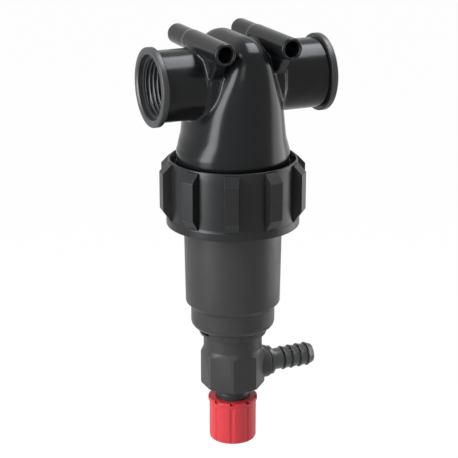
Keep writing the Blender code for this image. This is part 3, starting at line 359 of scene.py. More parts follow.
head = hood_form()
peak = max(v.co.z for v in head.data.vertices) / mm
print("hood:", len(head.data.polygons), "faces, top at", round(peak, 2))

# %% [markdown]
# ## Hub, barrels, tubes and webs
# A short hub crosses the hood and carries the two port barrels. Two tubes for the mounting bolts
# lie on top of it, thicker in front than behind, each with a web that leans down to the hub. As
# the whole head is one moulding, all of them are joined into one form first.

# %% Join the forms of the head
inlet_reach, outlet_reach, flange_thickness = 49.0, 53.5, 3.7
barrel_radius, hub_radius, hub_half = 19.4, 20.9, 22.5
tube_spacing, tube_height, tube_length = 38.2, 21.2, 68.4
tube_radius, tube_tail_radius, tube_step = 6.05, 5.7, 12.0
web_half, web_foot, web_front, web_back, web_lean = 3.5, 5.0, -33.0, 11.4, 13.5


def hub_and_barrels(edge=1.0, lap=0.8):
    """Turned about X: the barrels, which lap under the flanges, with the thicker hub between them."""
    outline = [(barrel_radius, outlet_reach - flange_thickness + lap), (barrel_radius, hub_half + edge),
               (hub_radius, hub_half - edge), (hub_radius, edge - hub_half),
               (barrel_radius, -hub_half - edge), (barrel_radius, flange_thickness - lap - inlet_reach)]
    return settle(lathe("hub", outline, 256), (0.0, math.pi / 2, 0.0))


def mounting_tube(side, ramp=0.4):
    """One tube laid along Y, its step behind the middle."""
    half = tube_length / 2
    outline = [(tube_tail_radius, half), (tube_tail_radius, tube_step + ramp),
               (tube_radius, tube_step - ramp), (tube_radius, -half)]
    tube = lathe("tube", outline, 96)
    return settle(tube, (-math.pi / 2, 0.0, 0.0), (side * tube_spacing / 2, 0.0, tube_height))


def tube_web(side):
    """The web under one tube: a box whose lower front edge is drawn back."""
    x = side * tube_spacing / 2
    web = box("web", (x - web_half, web_front, web_foot), (x + web_half, web_back, tube_height))
    for vertex in web.data.vertices:
        if vertex.co.y < 0.0 and vertex.co.z < (web_foot + tube_height) / 2 * mm:
            vertex.co.y += web_lean * mm
    return web


forms = [hub_and_barrels()]
for side in (-1, 1):
    forms += [mounting_tube(side), tube_web(side)]
carve(head, "UNION", *forms)
print("head forms joined:", len(head.data.polygons), "faces")

# %% [markdown]
# ## The head's passages
# Liquid enters from the left, turns down through a window into the ring-shaped chamber round the
# spigot, and comes back up through the spigot to the right-hand port. The cutters repeat the CAD
# sizes. They are used before the edges are softened, so that the walls get the same soft edges
# inside. The sockets come first: the port ends fit into them.

# %% Cut the passages
chamber_radius, chamber_roof, roof_radius, wall = 27.9, -24.1, 20.0, 3.4
spigot_radius, spigot_foot, flow_radius = 15.0, -73.4, 11.0
window_near, window_far, window_half, window_drop = 7.5, 19.2, 15.5, 4.0
socket_radius, socket_depth, bolt_hole_radius = 18.6, 22.8, 4.25
past, deep = 60.0, -75.5  # how far cutters run on, sideways and down


def chamber_cutters():
    """The ring-shaped chamber, and the inlet with its window, both kept off the spigot's bore."""
    outline = [(spigot_radius, chamber_roof), (roof_radius, chamber_roof), (chamber_radius, hood_foot),
               (chamber_radius, deep), (spigot_radius, deep)]
    chamber = lathe("chamber", outline, 192, closed=True)
    inlet = bar("inlet", flow_radius, (-past, 0.0, 0.0), (0.0, 0.0, 0.0))
    window = box("window", (-window_far, -window_half, chamber_roof - window_drop),
                 (-window_near, window_half, -wall))
    for passage in (inlet, window):
        carve(passage, "DIFFERENCE", bar("keep", spigot_radius + 0.3, (0.0, 0.0, -32.0), (0.0, 0.0, 30.0)))
    return [chamber, inlet, window]


def bore_cutters():
    """The outlet bore with its rise through the spigot, the port sockets and the tube holes."""
    outlet = bar("outlet", flow_radius, (-wall, 0.0, 0.0), (past, 0.0, 0.0))
    rise = bar("rise", flow_radius, (0.0, 0.0, wall), (0.0, 0.0, deep))
    sockets, holes = [], []
    for side, reach in ((-1, inlet_reach), (1, outlet_reach)):
        root, x = side * (reach - socket_depth), side * tube_spacing / 2
        sockets.append(bar("socket", socket_radius, (root, 0.0, 0.0), (side * past, 0.0, 0.0)))
        holes.append(bar("bolt_hole", bolt_hole_radius, (x, -past, tube_height), (x, past, tube_height), 64))
    return sockets, [outlet, rise], holes


sockets, bores, holes = bore_cutters()
carve(head, "DIFFERENCE", *sockets, *chamber_cutters(), *bores, *holes)
print("head with its passages:", len(head.data.polygons), "faces")

# %% [markdown]
# ## Soft edges for the head
# A mould leaves a small fillet at every joint. A voxel remesh turns the joined form into one even
# skin, and smoothing rounds its edges. Smoothing also shrinks the plain stretches a little, so the
# points that it moved least are drawn back onto the sharp form, and those at the edges stay.

# %% One skin with small fillets
def true_up(piece, form, most=0.5):
    """Draw points back onto the sharp form, the less the further (up to most, in mm) they moved."""
    for vertex in piece.data.vertices:
        place, _, _, gap = form.find_nearest(vertex.co)
        keep = min(gap / mm / most, 1.0)
        vertex.co = place.lerp(vertex.co, keep * keep * (3.0 - 2.0 * keep))


sharp_form = BVHTree.FromObject(head, bpy.context.evaluated_depsgraph_get())
modify(head, "REMESH", mode="VOXEL", voxel_size=0.78 * mm)
modify(head, "SMOOTH", factor=0.5, iterations=10)
true_up(head, sharp_form)
modify(head, "SMOOTH", factor=0.5, iterations=4)
only(head)
bpy.ops.object.shade_smooth()
dress(head, gloss_black, "head", "head_moulding", "head_body", "mounting_tube_left", "mounting_tube_right")

# %% [markdown]
# ## The head's foot and the spigot
# Below the nut's top the head is plain round work again, so two turned pieces go on from where
# the remeshed hood stops: the column's foot with its chamber, and the spigot for the cartridge.

# %% The foot and the spigot
collar_top, collar_bottom = -48.0, -70.0


def sleeve(name, outer, inner, bottom, edge, steps):
    """A plain tube from the split down to bottom, with its lower edges broken."""
    outline = [(outer, split), (outer, bottom + edge), (outer - edge, bottom), (inner + 0.3, bottom),
               (inner, bottom + 0.3), (inner, split)]
    return smooth(lathe(name, outline, steps, closed=True), 30.0)


foot = sleeve("head_foot", column_radius, chamber_radius, collar_bottom, 0.4, 288)
dress(foot, gloss_black, "head", "head_moulding", "head_skirt")
spigot = sleeve("cartridge_spigot", spigot_radius, flow_radius, spigot_foot, 0.9, 160)
dress(spigot, gloss_black, "head", "head_moulding", "head_spigot")

# %% [markdown]
# ## Threaded port ends
# Each port ends in a flange with a shallow recess, and behind that lies the pipe thread. The ring
# is turned like any other, with many thin rings along the thread. Then every point of the thread
# moves in or out by its height less a share of one pitch for its angle, so the groove runs
# round as a true helix. The depth fades out at both ends, as a moulded thread's does.

# %% Wind a thread
flange_radius, sunk_radius, recess_radius, recess_depth = 21.5, 18.9, 17.6, 3.3
thread_radius, thread_depth, pipe_pitch, pipe_thread_height = 15.6, 20.0, 2.309, 1.15


def wind(piece, wall_radius, low, high, pitch, depth, fade=1.2, way=1.0):
    """Press a helical groove, flat at root and crest, into the wall of a turned piece."""
    for vertex in piece.data.vertices:
        height, radius = vertex.co.z / mm, vertex.co.xy.length / mm
        if low - 0.01 < height < high + 0.01 and abs(radius - wall_radius) < 0.05:
            wave = (height / pitch - math.atan2(vertex.co.y, vertex.co.x) / math.tau) % 1.0
            groove = min(1.0, max(0.0, 1.25 * (1.0 - abs(2.0 * wave - 1.0)) - 0.1))
            ends = min(1.0, max(0.0, (height - low) / fade), max(0.0, (high - height) / fade))
            vertex.co.xy *= (radius + way * groove * depth * ends) / radius


print("threads of", pipe_pitch, "mm pitch over", thread_depth - recess_depth, "mm")

# %% Flanges with their threads
def port_end(name, side, reach, edge=0.7, rings=70, lap=2.6):
    """Flange, recess and threaded bore of one port, with a lap that ends inside the head."""
    back, foot, thread_top = reach - flange_thickness, reach - thread_depth, reach - recess_depth
    outline = [(sunk_radius, foot - lap), (sunk_radius, back)]
    outline += arc((flange_radius - edge, back + edge), edge, -90.0, 0.0, 4)
    outline += arc((flange_radius - edge, reach - edge), edge, 0.0, 90.0, 4)
    outline += [(recess_radius + 0.9, reach), (recess_radius, reach - edge), (recess_radius, thread_top)]
    outline += [(thread_radius, thread_top + (foot - thread_top) * i / rings) for i in range(rings + 1)]
    outline += [(flow_radius + 0.1, foot - lap + 0.3), (flow_radius + 0.1, foot - lap)]
    port = lathe(name, outline, 144, closed=True)
    wind(port, thread_radius, foot, thread_top, pipe_pitch, pipe_thread_height)
    return smooth(settle(port, (0.0, side * math.pi / 2, 0.0)), 28.0)


# The port ends wear the black whose lighter colour is painted light for their recesses.
for name, side, reach in (("inlet_port_end", -1, inlet_reach), ("outlet_port_end", 1, outlet_reach)):
    dress(port_end(name, side, reach), port_black_painted_light, "head", "head_moulding", name.replace("_end", ""))

# %% [markdown]
# ## The thread on the head's skirt
# The nut screws onto a coarse thread round the foot of the head. It shows only when the nut is
# wound down and the bowl drops, so it is a separate turned sleeve over the column. The helper that
# wound the pipe threads winds it too, with a wider pitch and with the groove pressed inwards.

# %% The skirt's thread
collar_radius, sleeve_bore, nut_pitch, nut_thread_height = 33.2, 30.4, 4.0, 1.6
collar_length, rings = collar_top - collar_bottom, 60
sleeve_rings = [(collar_radius, collar_top - collar_length * i / rings) for i in range(rings + 1)]
skirt_thread = lathe("skirt_thread", [(sleeve_bore, collar_top), *sleeve_rings, (sleeve_bore, collar_bottom)],
                     144, closed=True)
wind(skirt_thread, collar_radius, collar_bottom, collar_top, nut_pitch, nut_thread_height, fade=2.0, way=-1.0)
dress(smooth(skirt_thread, 40.0), gloss_black, "head", "head_moulding")

# %% [markdown]
# ## The ring nut
# A nut that is turned by hand: a ring that leans in a little near its top, a stepped foot, and ten
# grip ribs with long chamfers at both ends. A rib is one box whose outer ends are drawn in, then
# bevelled. It is modelled once and copied round, with its root sunk into the ring. Weighted normals
# keep the ribs' faces looking flat beside their bevels.

# %% The nut's ring
nut_top, nut_foot, nut_bore, nut_lip = -43.3, -80.8, 33.5, 28.1
nut_body_radius, nut_foot_radius, nut_foot_height, nut_floor, nut_lean = 36.3, 37.1, 4.2, 4.6, 5.4


def nut_ring():
    """The turned body of the nut."""
    foot_top = nut_foot + nut_foot_height
    outline = [(nut_bore, nut_foot + 10.0), (nut_bore, nut_top - 3.4), (nut_bore + 0.5, nut_top - 2.2),
               (nut_bore + 1.1, nut_top - 0.4), (nut_bore + 1.4, nut_top)]
    outline += arc((nut_body_radius - 1.1, nut_top - 0.5), 0.5, 90.0, 0.0, 4)
    outline += [(nut_body_radius, nut_top - nut_lean), (nut_body_radius, foot_top + 1.6),
                (nut_body_radius + 0.35, foot_top + 0.7), (nut_foot_radius, foot_top)]
    outline += arc((nut_foot_radius - 0.6, nut_foot + 0.6), 0.6, 0.0, -90.0, 4)
    outline += [(nut_lip, nut_foot), (nut_lip, nut_foot + nut_floor), (nut_bore, nut_foot + nut_floor)]
    return lathe("ring_nut_body", outline, 160, closed=True)


nut = nut_ring()
print("nut ring:", len(nut.data.polygons), "faces")

# %% One rib, copied round
rib_count, first_rib, rib_radius, rib_root, rib_width = 10, math.radians(-7.0), 41.05, 34.6, 8.2
rib_drop, rib_shoulder, rib_heel, rib_end, rib_draft = 0.9, 5.8, 11.0, 4.6, 0.95


def grip_rib():
    """One rib on the +X side: a box with its outer top and bottom edges drawn in."""
    rib = box("rib", (rib_root, -rib_width / 2, nut_foot + rib_end),
              (rib_radius, rib_width / 2, nut_top - rib_drop))
    bpy.ops.object.mode_set(mode="EDIT")
    for height in (nut_foot + rib_heel, nut_top - rib_shoulder):
        bpy.ops.mesh.select_all(action="SELECT")
        bpy.ops.mesh.bisect(plane_co=(0.0, 0.0, height * mm), plane_no=(0.0, 0.0, 1.0))
    bpy.ops.object.mode_set(mode="OBJECT")
    outer = [vertex for vertex in rib.data.vertices if vertex.co.x > (rib_root + rib_radius) / 2 * mm]
    for vertex in outer:
        if vertex.co.z > (nut_top - rib_shoulder + 1.0) * mm:
            vertex.co.x = (nut_body_radius + 0.15) * mm
        elif vertex.co.z < (nut_foot + rib_heel - 1.0) * mm:
            vertex.co.x = (nut_body_radius + 0.4) * mm
        else:
            vertex.co.y *= rib_draft
    modify(rib, "BEVEL", width=0.25 * mm, segments=2, limit_method="ANGLE", angle_limit=math.radians(20.0))
    return rib


rib = grip_rib()
copies = []
for i in range(rib_count):
    twin = rib.copy()
    twin.data = rib.data.copy()
    bpy.context.collection.objects.link(twin)
    copies.append(settle(twin, (0.0, 0.0, first_rib + math.tau * i / rib_count)))
bpy.data.objects.remove(rib)
gather(nut, *copies)
smooth(nut, 30.0)
modify(nut, "WEIGHTED_NORMAL", weight=90, keep_sharp=True)
dress(nut, nut_black, "nut", "nut_moulding", "ring_nut")

# %% [markdown]
# ## The bowl
# The bowl tapers a little so that it leaves its mould, steps in near the bottom over a soft
# chamfer, and rounds into the floor. A short collar below takes the drain valve: two slits in it
# let the valve's lugs turn in, and a small pad beside each slit marks where it locks.

# %% Turn the bowl
bowl_bore, bowl_flange_radius, bowl_flange_top, bowl_flange_foot = 24.7, 32.6, -70.3, -75.9
bowl_top_radius, bowl_foot_radius, bowl_step, taper_steps = 27.5, 26.65, -125.8, 6
bowl_step_radius, bowl_round, ledge_radius, ledge_top = 23.7, 4.4, 20.9, -127.8
bayonet_radius, bayonet_foot, bayonet_socket, floor_top = 19.1, -146.4, 13.4, -139.2

taper, wall_length = bowl_top_radius - bowl_foot_radius, bowl_flange_foot - bowl_step
bowl_outline = [(bowl_bore, bowl_flange_foot), (bowl_bore, bowl_flange_top),
                (bowl_flange_radius, bowl_flange_top), (bowl_flange_radius, bowl_flange_foot),
                (bowl_top_radius, bowl_flange_foot)]
bowl_outline += [(bowl_top_radius - taper * i / taper_steps, bowl_flange_foot - wall_length * i / taper_steps)
                 for i in range(1, taper_steps + 1)]
bowl_outline += arc((bowl_foot_radius - 1.1, bowl_step - 0.3), 1.1, 10.0, -38.0, 4)
bowl_outline += [(24.35, -128.9), (23.85, -129.5), (bowl_step_radius, -130.4), (bowl_step_radius, -137.6)]
bowl_outline += arc((bowl_step_radius - bowl_round, -138.0), bowl_round, 0.0, -88.0, 8)
bowl_outline += [(bayonet_radius, -142.6), (bayonet_radius, bayonet_foot + 0.8),
                 (bayonet_radius - 0.2, bayonet_foot + 0.3), (bayonet_radius - 0.7, bayonet_foot),
                 (bayonet_socket, bayonet_foot), (bayonet_socket, floor_top), (18.1, floor_top),
                 (ledge_radius, -136.4), (ledge_radius, ledge_top), (bowl_step_radius + 0.15, ledge_top)]
bowl = lathe("bowl_shell", bowl_outline, 160, closed=True)
print("bowl turned:", len(bowl.data.polygons), "faces")

# %% Slits and pads of the bayonet
def ring_sector(name, inner, outer, low, high, start, sweep, steps=24):
    """A slice of a flat ring: a rectangle spun about Z."""
    bpy.ops.object.select_all(action="DESELECT")
    bpy.ops.mesh.primitive_plane_add(size=1.0)
    piece = take(name)
    corners = [(inner, low), (outer, low), (inner, high), (outer, high)]
    for vertex, (radius, height) in zip(piece.data.vertices, corners):
        vertex.co = Vector((radius * math.cos(start), radius * math.sin(start), height)) * mm
    bpy.ops.object.mode_set(mode="EDIT")
    bpy.ops.mesh.select_all(action="SELECT")
    bpy.ops.mesh.spin(steps=steps, angle=sweep, center=(0.0, 0.0, 0.0), axis=(0.0, 0.0, 1.0), dupli=False)
    bpy.ops.mesh.select_all(action="SELECT")
    bpy.ops.mesh.remove_doubles(threshold=0.001 * mm)
    bpy.ops.mesh.normals_make_consistent(inside=False)
    bpy.ops.object.mode_set(mode="OBJECT")
    print(name, "spans", [round(math.degrees(a), 1) for a in (start, start + sweep)], "degrees")
    return piece


slit_start, slit_sweep, pad_sweep = math.radians(-159.0), math.radians(58.0), math.radians(27.0)
pads = []
for turn_half in (0.0, math.pi):
    start = slit_start + turn_half
    carve(bowl, "DIFFERENCE", ring_sector("slit", 11.0, 21.5, -144.6, -142.7, start, slit_sweep))
    pads.append(ring_sector("pad", 18.0, 19.75, -146.1, -142.0, start + slit_sweep, pad_sweep))
for pad in pads:
    modify(pad, "BEVEL", width=0.25 * mm, segments=2, limit_method="ANGLE", angle_limit=math.radians(40.0))
gather(bowl, *pads)
dress(smooth(bowl, 24.0), bowl_grey, "bowl", "bowl_moulding", "bowl")

# %% [markdown]
# ## The drain valve's body
# A round neck and plug go up into the bowl's collar. Below lies an eight-sided grip, turned off
# at its top so that each flat ends in an arch, and below that the neck that the knob runs on. The
# grip is made as on a lathe: an eight-sided bar, cut by the turned shape.

# %% The eight-sided grip
octagon_flats, octagon_top, octagon_bottom, grip_rise = 34.0, -156.4, -177.7, 2.4


def grip_turning(corner):
    """The form that rounds the grip's shoulders, for a grip this far to its corners."""
    shoulder, full, heel = octagon_top + grip_rise - 0.1, corner + 0.05, octagon_bottom - 0.1
    return lathe("turning", [(0.5, shoulder), (16.4, shoulder), (corner - 0.9, octagon_top - 0.4),
                             (full, octagon_top - 1.9), (full, octagon_bottom + 1.1), (corner - 0.8, heel),
                             (0.5, heel)], 128)


def octagon_grip():
    """The eight-sided grip with its turned-off top and lightly broken edges."""
    corner, height = octagon_flats / 2 / math.cos(math.pi / 8), octagon_top + grip_rise - octagon_bottom
    bpy.ops.object.select_all(action="DESELECT")
    bpy.ops.mesh.primitive_cylinder_add(vertices=8, radius=corner * mm, depth=height * mm)
    grip = settle(take("valve_body"), (0.0, 0.0, math.pi / 8), (0.0, 0.0, octagon_bottom + height / 2))
    modify(grip, "BEVEL", width=0.3 * mm, segments=2, limit_method="ANGLE", angle_limit=math.radians(30.0))
    return carve(grip, "INTERSECT", grip_turning(corner))


valve = octagon_grip()
carve(valve, "DIFFERENCE", bar("bore", 9.0, (0.0, 0.0, -150.0), (0.0, 0.0, -182.0)))
print("grip:", len(valve.data.polygons), "faces")

# %% Plug, necks, side boss and lugs
tail_height, boss_radius, boss_reach, boss_bore = -168.0, 9.4, 21.4, 6.9
plug_radius, plug_groove, plug_bore, core_radius, neck_radius = 13.1, 11.1, 9.4, 16.7, 9.7
seat_bore, valve_bore, guide_bore = 6.6, 8.6, 6.2
lug_start, lug_sweep = slit_start + slit_sweep - math.radians(21.0), math.radians(20.0)


def valve_core():
    """Plug, neck and lower neck, turned about Z and bored through."""
    outline = [(plug_bore, -138.0), (plug_radius - 0.4, -138.0), (plug_radius, -138.4),
               (plug_radius, -139.7), (plug_groove, -139.7), (plug_groove, -142.3), (plug_radius, -142.3),
               (plug_radius, -146.7), (core_radius - 0.5, -146.7), (core_radius, -147.2),
               (core_radius, -154.0), (core_radius, -159.0), (neck_radius, -159.0), (neck_radius, -178.0),
               (neck_radius - 0.5, -178.6), (neck_radius - 0.5, -182.4), (neck_radius, -183.2),
               (neck_radius, -199.0), (neck_radius - 0.5, -199.5), (guide_bore, -199.5),
               (guide_bore, -176.0), (valve_bore, -176.0), (valve_bore, -152.0), (seat_bore, -152.0),
               (seat_bore, -145.5), (plug_bore, -145.5)]
    return lathe("core", outline, 128, closed=True)


boss_outline = [(boss_bore, boss_reach), (boss_radius - 0.9, boss_reach),
                (boss_radius - 0.3, boss_reach - 0.5), (boss_radius, boss_reach - 1.4),
                (boss_radius, 14.5), (boss_bore, 14.5)]
boss = settle(lathe("boss", boss_outline, 96, closed=True), (0.0, math.pi / 2, 0.0), (0.0, 0.0, tail_height))
lugs = [ring_sector("lug", 12.0, 17.8, -144.3, -143.0, lug_start + turn_half, lug_sweep, 8)
        for turn_half in (0.0, math.pi)]
gather(valve, valve_core(), boss, *lugs)
dress(smooth(valve, 26.0), bowl_grey, "drain", "bowl_moulding", "drain_body")

# %% [markdown]
# ## The hose tail
# Four saw-tooth barbs let a hose slide on and hold it. The whole tail is turned in one piece about
# the side outlet's axis, with a flange that stops the hose and a plug that goes into the boss.

# %% The hose tail
tail_bore, tail_reach, tail_shank, barb_crest, barb_root = 4.2, 50.0, 6.2, 6.9, 5.9
barb_count, first_barb, barb_pitch = 4, 31.0, 5.1


def tail_outline():
    """Outline of the hose tail from its mouth, over the barbs, back to the plug and the bore."""
    points = [(tail_bore, tail_reach), (5.0, tail_reach), (5.45, 49.8), (5.75, 49.3), (5.95, 48.6)]
    for i in reversed(range(barb_count)):
        step = first_barb + barb_pitch * i
        points += [(barb_crest - 0.15, step + 0.35), (barb_crest, step + 0.15), (barb_crest, step - 0.1),
                   (barb_crest - 0.2, step - 0.3), (barb_root, step - 0.45), (barb_root, step - 0.9)]
    points[-1] = (tail_shank, 29.6)
    points += [(tail_shank, 24.4), (6.5, 24.0), (8.0, 23.9), (8.4, 23.5), (8.4, 22.0), (8.1, 21.7),
               (6.6, 21.7), (6.6, 18.45), (5.1, 18.45), (5.1, 16.35), (6.6, 16.35), (6.6, 13.7),
               (tail_bore, 13.7)]
    return points


tail = lathe("hose_tail_piece", tail_outline(), 96, closed=True)
settle(tail, (0.0, math.pi / 2, 0.0), (0.0, 0.0, tail_height))
dress(smooth(tail, 24.0), tail_black, "drain", "tail_moulding", "hose_tail")

# %% [markdown]
# ## The red knob
# A turned cap with a thin rim. Nine shallow flutes for the fingers run up its side, and the rim is
# notched above each of them. Flutes and notches are cut with one round bar and one small block,
# copied round.

# %% The knob
knob_top, knob_bottom, knob_radius, rim_radius, knob_bore = -185.8, -211.5, 13.4, 14.1, 10.0
knob_round, screw_recess, screw_hole = 1.5, 3.8, 1.8
flute_count, first_flute, flute_radius, flute_out, notch_half = 9, math.radians(-115.6), 2.6, 2.1, 1.3


def knob_turning():
    """The cap itself."""
    outline = [(knob_bore, knob_top), (rim_radius - 0.3, knob_top), (rim_radius, knob_top - 0.3),
               (rim_radius, knob_top - 2.0), (rim_radius - 0.2, knob_top - 2.3),
               (knob_radius + 0.1, knob_top - 2.6), (knob_radius, knob_top - 3.0)]
    outline += arc((knob_radius - knob_round, knob_bottom + knob_round), knob_round, 0.0, -90.0, 6)
    outline += [(screw_recess, knob_bottom), (screw_recess, knob_bottom + 2.6),
                (screw_hole, knob_bottom + 2.6), (screw_hole, knob_bottom + 5.2),
                (knob_bore, knob_bottom + 5.2)]
    return lathe("knob", outline, 180, closed=True)


knob = knob_turning()
for i in range(flute_count):
    angle = first_flute + math.tau * i / flute_count
    x, y = (knob_radius + flute_out) * math.cos(angle), (knob_radius + flute_out) * math.sin(angle)
    flute = bar("flute", flute_radius, (x, y, knob_bottom - 3.0), (x, y, knob_top - 3.4), 40)
    notch = box("notch", (rim_radius - 1.5, -notch_half, knob_top - 1.3),
                (rim_radius + 2.0, notch_half, knob_top + 2.0))
    carve(knob, "DIFFERENCE", flute, settle(notch, (0.0, 0.0, angle)))
dress(smooth(knob, 26.0), knob_red, "knob", "knob_moulding", "drain_knob")

# %% [markdown]
# ## Inside the valve and the bowl
# The poppet on its rod closes the seat, and the screw under the knob holds the two together. These
# are turned too. The O-rings are tori. All of it lies inside, but the poses open some of it to
# view, so it gets the same care as the outside.

# %% The O-rings
def o_ring(name, ring_radius, section, height, body, node, along_x=False, squash=0.94):
    """A rubber ring, squashed a little against its seat; along X, height is its distance out."""
    bpy.ops.object.select_all(action="DESELECT")
    bpy.ops.mesh.primitive_torus_add(major_radius=ring_radius * mm, minor_radius=section * mm,
                                     major_segments=96, minor_segments=16)
    ring = take(name)
    bpy.ops.object.mode_set(mode="EDIT")
    bpy.ops.mesh.select_all(action="SELECT")
    bpy.ops.transform.resize(value=(1.0, 1.0, squash))
    bpy.ops.object.mode_set(mode="OBJECT")
    if along_x:
        settle(ring, (0.0, math.pi / 2, 0.0), (height, 0.0, tail_height))
    else:
        settle(ring, place=(0.0, 0.0, height))
    bpy.ops.object.shade_smooth()
    return dress(ring, seal_rubber, body, "seal_rubber", node)


o_ring("bowl_seal", 28.65, 1.35, -71.8, "bowl", "bowl_o_ring")
o_ring("cartridge_seal", 16.2, 0.75, -70.5, "bowl", "cartridge_top_seal")
o_ring("valve_plug_seal", 12.1, 0.85, -141.0, "drain", "drain_body_o_ring")
o_ring("tail_plug_seal", 5.85, 0.6, 17.4, "drain", "hose_tail_o_ring", along_x=True)
o_ring("upper_piston_seal", 5.35, 0.7, -187.6, "poppet", "stem_upper_o_ring")
o_ring("lower_piston_seal", 5.35, 0.7, -195.4, "poppet", "stem_lower_o_ring")

# %% The poppet and its seal
rod_radius, piston_radius, groove_radius, thread_hole = 3.4, 5.9, 4.5, 1.8
stem_outline = [(0.4, -140.9), (7.6, -140.9), (8.2, -141.2), (8.4, -141.8), (8.4, -143.5),
                (rod_radius, -143.5), (rod_radius, -185.0), (5.5, -185.0), (piston_radius, -185.4)]
for groove_top in (-186.75, -194.55):
    groove_end = groove_top - 1.7
    stem_outline += [(piston_radius, groove_top), (groove_radius, groove_top), (groove_radius, groove_end),
                     (piston_radius, groove_end)]
stem_outline += [(piston_radius, -197.6), (5.5, -198.0), (rod_radius, -198.0), (rod_radius, -206.0),
                 (thread_hole, -206.0), (thread_hole, -195.5), (0.4, -195.0)]
stem = lathe("poppet_and_rod", stem_outline, 96)
dress(smooth(stem, 28.0), tail_black, "poppet", "tail_moulding", "poppet_stem")
seal_outline = [(3.7, -143.8), (8.1, -143.8), (8.4, -144.1), (8.4, -144.9), (8.1, -145.2), (3.7, -145.2)]
seat_seal = lathe("seat_seal", seal_outline, 96, closed=True)
dress(smooth(seat_seal, 30.0), seal_rubber, "poppet", "seal_rubber", "poppet_seal")

# %% [markdown]
# ## Steel: the knob's screw and the strainer's mesh
# Two steel finishes are needed. The screw is bright steel: the moulding's recipe with a metallic
# shader and a very fine grain. The mesh sleeve is woven wire: the angle round the axis and the
# height make two sets of waves, and where a wave is high the surface is raised and light like a
# wire; between the wires the colour is painted dark, painted shade that stands for the holes.

# %% A steel finish
def steel(name, colour, gloss):
    """A bright steel with small variation in its gloss."""
    material = moulding(name, colour, gloss, cloud=0.08, pebble=0.1, pebble_scale=2500.0)
    material.node_tree.nodes["Principled BSDF"].inputs["Metallic"].default_value = 1.0
    return material


print("steel finish:", steel.__name__)

# %% Arithmetic on a pattern
def math_node(tree, operation, first, second=None):
    """One Math node; an input is a socket or a number."""
    node = tree.nodes.new("ShaderNodeMath")
    node.operation = operation
    for socket, value in zip(node.inputs, (first, second)):
        if value is None:
            continue
        if isinstance(value, (int, float)):
            socket.default_value = value
        else:
            tree.links.new(value, socket)
    return node.outputs[0]


print("arithmetic:", math_node.__name__)

# %% Woven wire
def woven_mesh(wire_gap=0.5, wires_round=220.0):
    """Woven stainless wire, wire_gap mm between wires, on a sleeve about Z."""
    material = steel("woven_mesh", (0.5, 0.5, 0.49), (0.28, 0.4))
    tree = material.node_tree
    place = tree.nodes.new("ShaderNodeTexCoord")
    parts = tree.nodes.new("ShaderNodeSeparateXYZ")
    tree.links.new(place.outputs["Object"], parts.inputs["Vector"])
    angle = math_node(tree, "ARCTAN2", parts.outputs["Y"], parts.outputs["X"])
    across = math_node(tree, "SINE", math_node(tree, "MULTIPLY", angle, wires_round))
    rows = math_node(tree, "MULTIPLY", parts.outputs["Z"], math.tau / (wire_gap * mm))
    upward = math_node(tree, "SINE", rows)
    wires = math_node(tree, "MAXIMUM", across, upward)
    share = math_node(tree, "MULTIPLY", math_node(tree, "ADD", wires, 1.0), 0.5)
    # Painted shade: the gaps between the wires are coloured dark to stand for the holes.
    tinted(tree, share, (0.03, 0.03, 0.03), (0.55, 0.55, 0.54))
    raised(tree, wires, 0.8, 0.1)
    return material


screw_steel, mesh_steel = steel("screw_steel", (0.62, 0.61, 0.6), (0.22, 0.34)), woven_mesh()
print("steels:", screw_steel.name, mesh_steel.name)

# %% The knob's screw
screw_outline = [(0.3, -199.9), (1.2, -200.4), (1.5, -201.2), (1.5, -209.2), (3.2, -209.2), (3.2, -210.3),
                 (2.9, -210.8), (2.3, -211.0), (0.3, -211.0)]
screw = lathe("knob_screw_piece", screw_outline, 64)
for quarter in (0.0, math.pi / 2):
    slot = settle(box("recess", (-1.5, -0.3, -211.6), (1.5, 0.3, -210.1)), (0.0, 0.0, quarter))
    carve(screw, "DIFFERENCE", slot)
dress(smooth(screw, 30.0), screw_steel, "knob", "stainless", "knob_screw")

# %% [markdown]
# ## The cartridge
# Its CAD solids already have the right shape: a collar, a cage of bars and hoops, a sleeve of
# mesh and a closed foot. They stay, and only take their finishes, through the material slots of
# their own objects.

# %% Finish the cartridge
def refinish(node, material):
    """Give a CAD node's object a finish and leave its mesh alone."""
    thing = bpy.data.objects[node]
    for slot in thing.material_slots:
        slot.material = material
    print(node, "is now", material.name)


for node in ("cartridge_top_ring", "cartridge_frame", "cartridge_bottom_cap"):
    refinish(node, cage_white)
refinish("cartridge_mesh", mesh_steel)

# %% [markdown]
# ## Floor, backdrop and light
# The strainer is shown as in a catalogue: on white, with nothing under it that shows. It hangs in
# its pipe line, so the pale floor lies well below. The white that the camera sees comes from the
# colour of the world and the floor as the camera, a mirror or glass sees them, so it adds no light
# of its own, and the floor keeps a faint shadow.

# %% White surround
def looking_rays(tree):
    """1 for camera, mirror and glass rays, 0 for the light that falls on things."""
    path = tree.nodes.new("ShaderNodeLightPath")
    mirrored = math_node(tree, "MAXIMUM", path.outputs["Is Glossy Ray"], path.outputs["Is Transmission Ray"])
    return math_node(tree, "MAXIMUM", path.outputs["Is Camera Ray"], mirrored)


def white_world(surround=0.3):
    """White where the camera, a mirror or glass looks; a soft grey surround for all other light."""
    world = bpy.data.worlds.new("white_surround")
    bpy.context.scene.world = world
    world.use_nodes = True
    nodes, links = world.node_tree.nodes, world.node_tree.links
    shader = nodes["Background"]
    shader.inputs["Strength"].default_value = surround
    shader.inputs["Color"].default_value = (0.86, 0.93, 1.0, 1.0)
    seen = nodes.new("ShaderNodeBackground")
    seen.inputs["Color"].default_value = (1.0, 1.0, 1.0, 1.0)
    seen.inputs["Strength"].default_value = 1.0
    mix = nodes.new("ShaderNodeMixShader")
    links.new(looking_rays(world.node_tree), mix.inputs["Fac"])
    links.new(shader.outputs["Background"], mix.inputs[1])
    links.new(seen.outputs["Background"], mix.inputs[2])
    links.new(mix.outputs["Shader"], nodes["World Output"].inputs["Surface"])


white_world()
print("the surround is", bpy.context.scene.world.name)

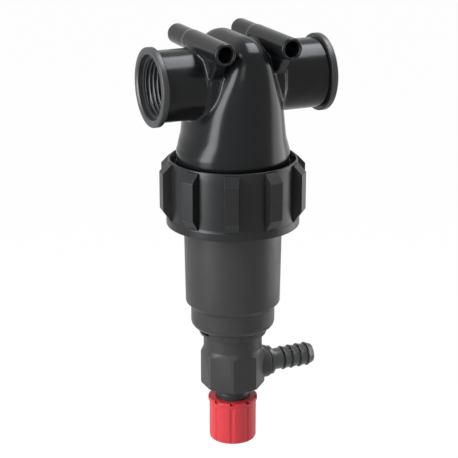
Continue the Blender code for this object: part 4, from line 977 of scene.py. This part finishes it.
# %% [markdown]
# ## The lights
# A tall soft light on the left draws the long highlights down the head and the bowl. One overhead
# and to the right lays a bright band along the top of the ports. A weak one in front opens the
# shadows, and a broad one on the right brightens the right side of the bowl, as in the photograph.

# %% Floor and lights
def soft_light(name, azimuth, height, away_by, size, power, tint=(1.0, 1.0, 1.0), aim=(0.0, 0.0, -0.085)):
    """A rectangular soft light; azimuth in degrees, 0 in front and positive to the right."""
    turn_to = math.radians(azimuth)
    spot = Vector((math.sin(turn_to), -math.cos(turn_to), 0.0)) * away_by + Vector((0.0, 0.0, height))
    bpy.ops.object.light_add(type="AREA", location=spot)
    lamp = bpy.context.object
    lamp.name = name
    lamp.data.shape = "RECTANGLE"
    lamp.data.size, lamp.data.size_y = size
    lamp.data.energy = power
    lamp.data.color = tint
    lamp.rotation_euler = (Vector(aim) - spot).to_track_quat("-Z", "Y").to_euler()
    return lamp


def pale_floor(seen_white=0.98):
    """A wide pale floor; seen_white is the share of plain white in what the camera sees of it."""
    bpy.ops.object.select_all(action="DESELECT")
    bpy.ops.mesh.primitive_plane_add(size=12.0, location=(0.0, 0.0, -0.34))
    floor = take("floor")
    material = bpy.data.materials.new("pale_floor")
    material.use_nodes = True
    nodes, links = material.node_tree.nodes, material.node_tree.links
    shader = nodes["Principled BSDF"]
    shader.inputs["Base Color"].default_value = (0.9, 0.9, 0.9, 1.0)
    shader.inputs["Roughness"].default_value = 0.8
    glow = nodes.new("ShaderNodeEmission")
    glow.inputs["Color"].default_value = (1.0, 1.0, 1.0, 1.0)
    mix = nodes.new("ShaderNodeMixShader")
    share = math_node(material.node_tree, "MULTIPLY", looking_rays(material.node_tree), seen_white)
    links.new(share, mix.inputs["Fac"])
    links.new(shader.outputs["BSDF"], mix.inputs[1])
    links.new(glow.outputs["Emission"], mix.inputs[2])
    links.new(mix.outputs["Shader"], nodes["Material Output"].inputs["Surface"])
    floor.data.materials.append(material)


pale_floor()
soft_light("tall_left_light", -80.0, 0.16, 0.6, (0.3, 0.8), 12.5, (0.95, 0.97, 1.0), aim=(0.0, 0.0, -0.06))
soft_light("overhead_light", 90.0, 0.58, 0.26, (0.5, 0.24), 5.2, (0.93, 0.96, 1.0), aim=(0.0, 0.0, 0.0))
soft_light("front_light", -25.0, 0.2, 1.0, (0.4, 0.4), 2.0)
soft_light("right_light", 84.0, -0.05, 0.6, (0.5, 0.7), 3.6)
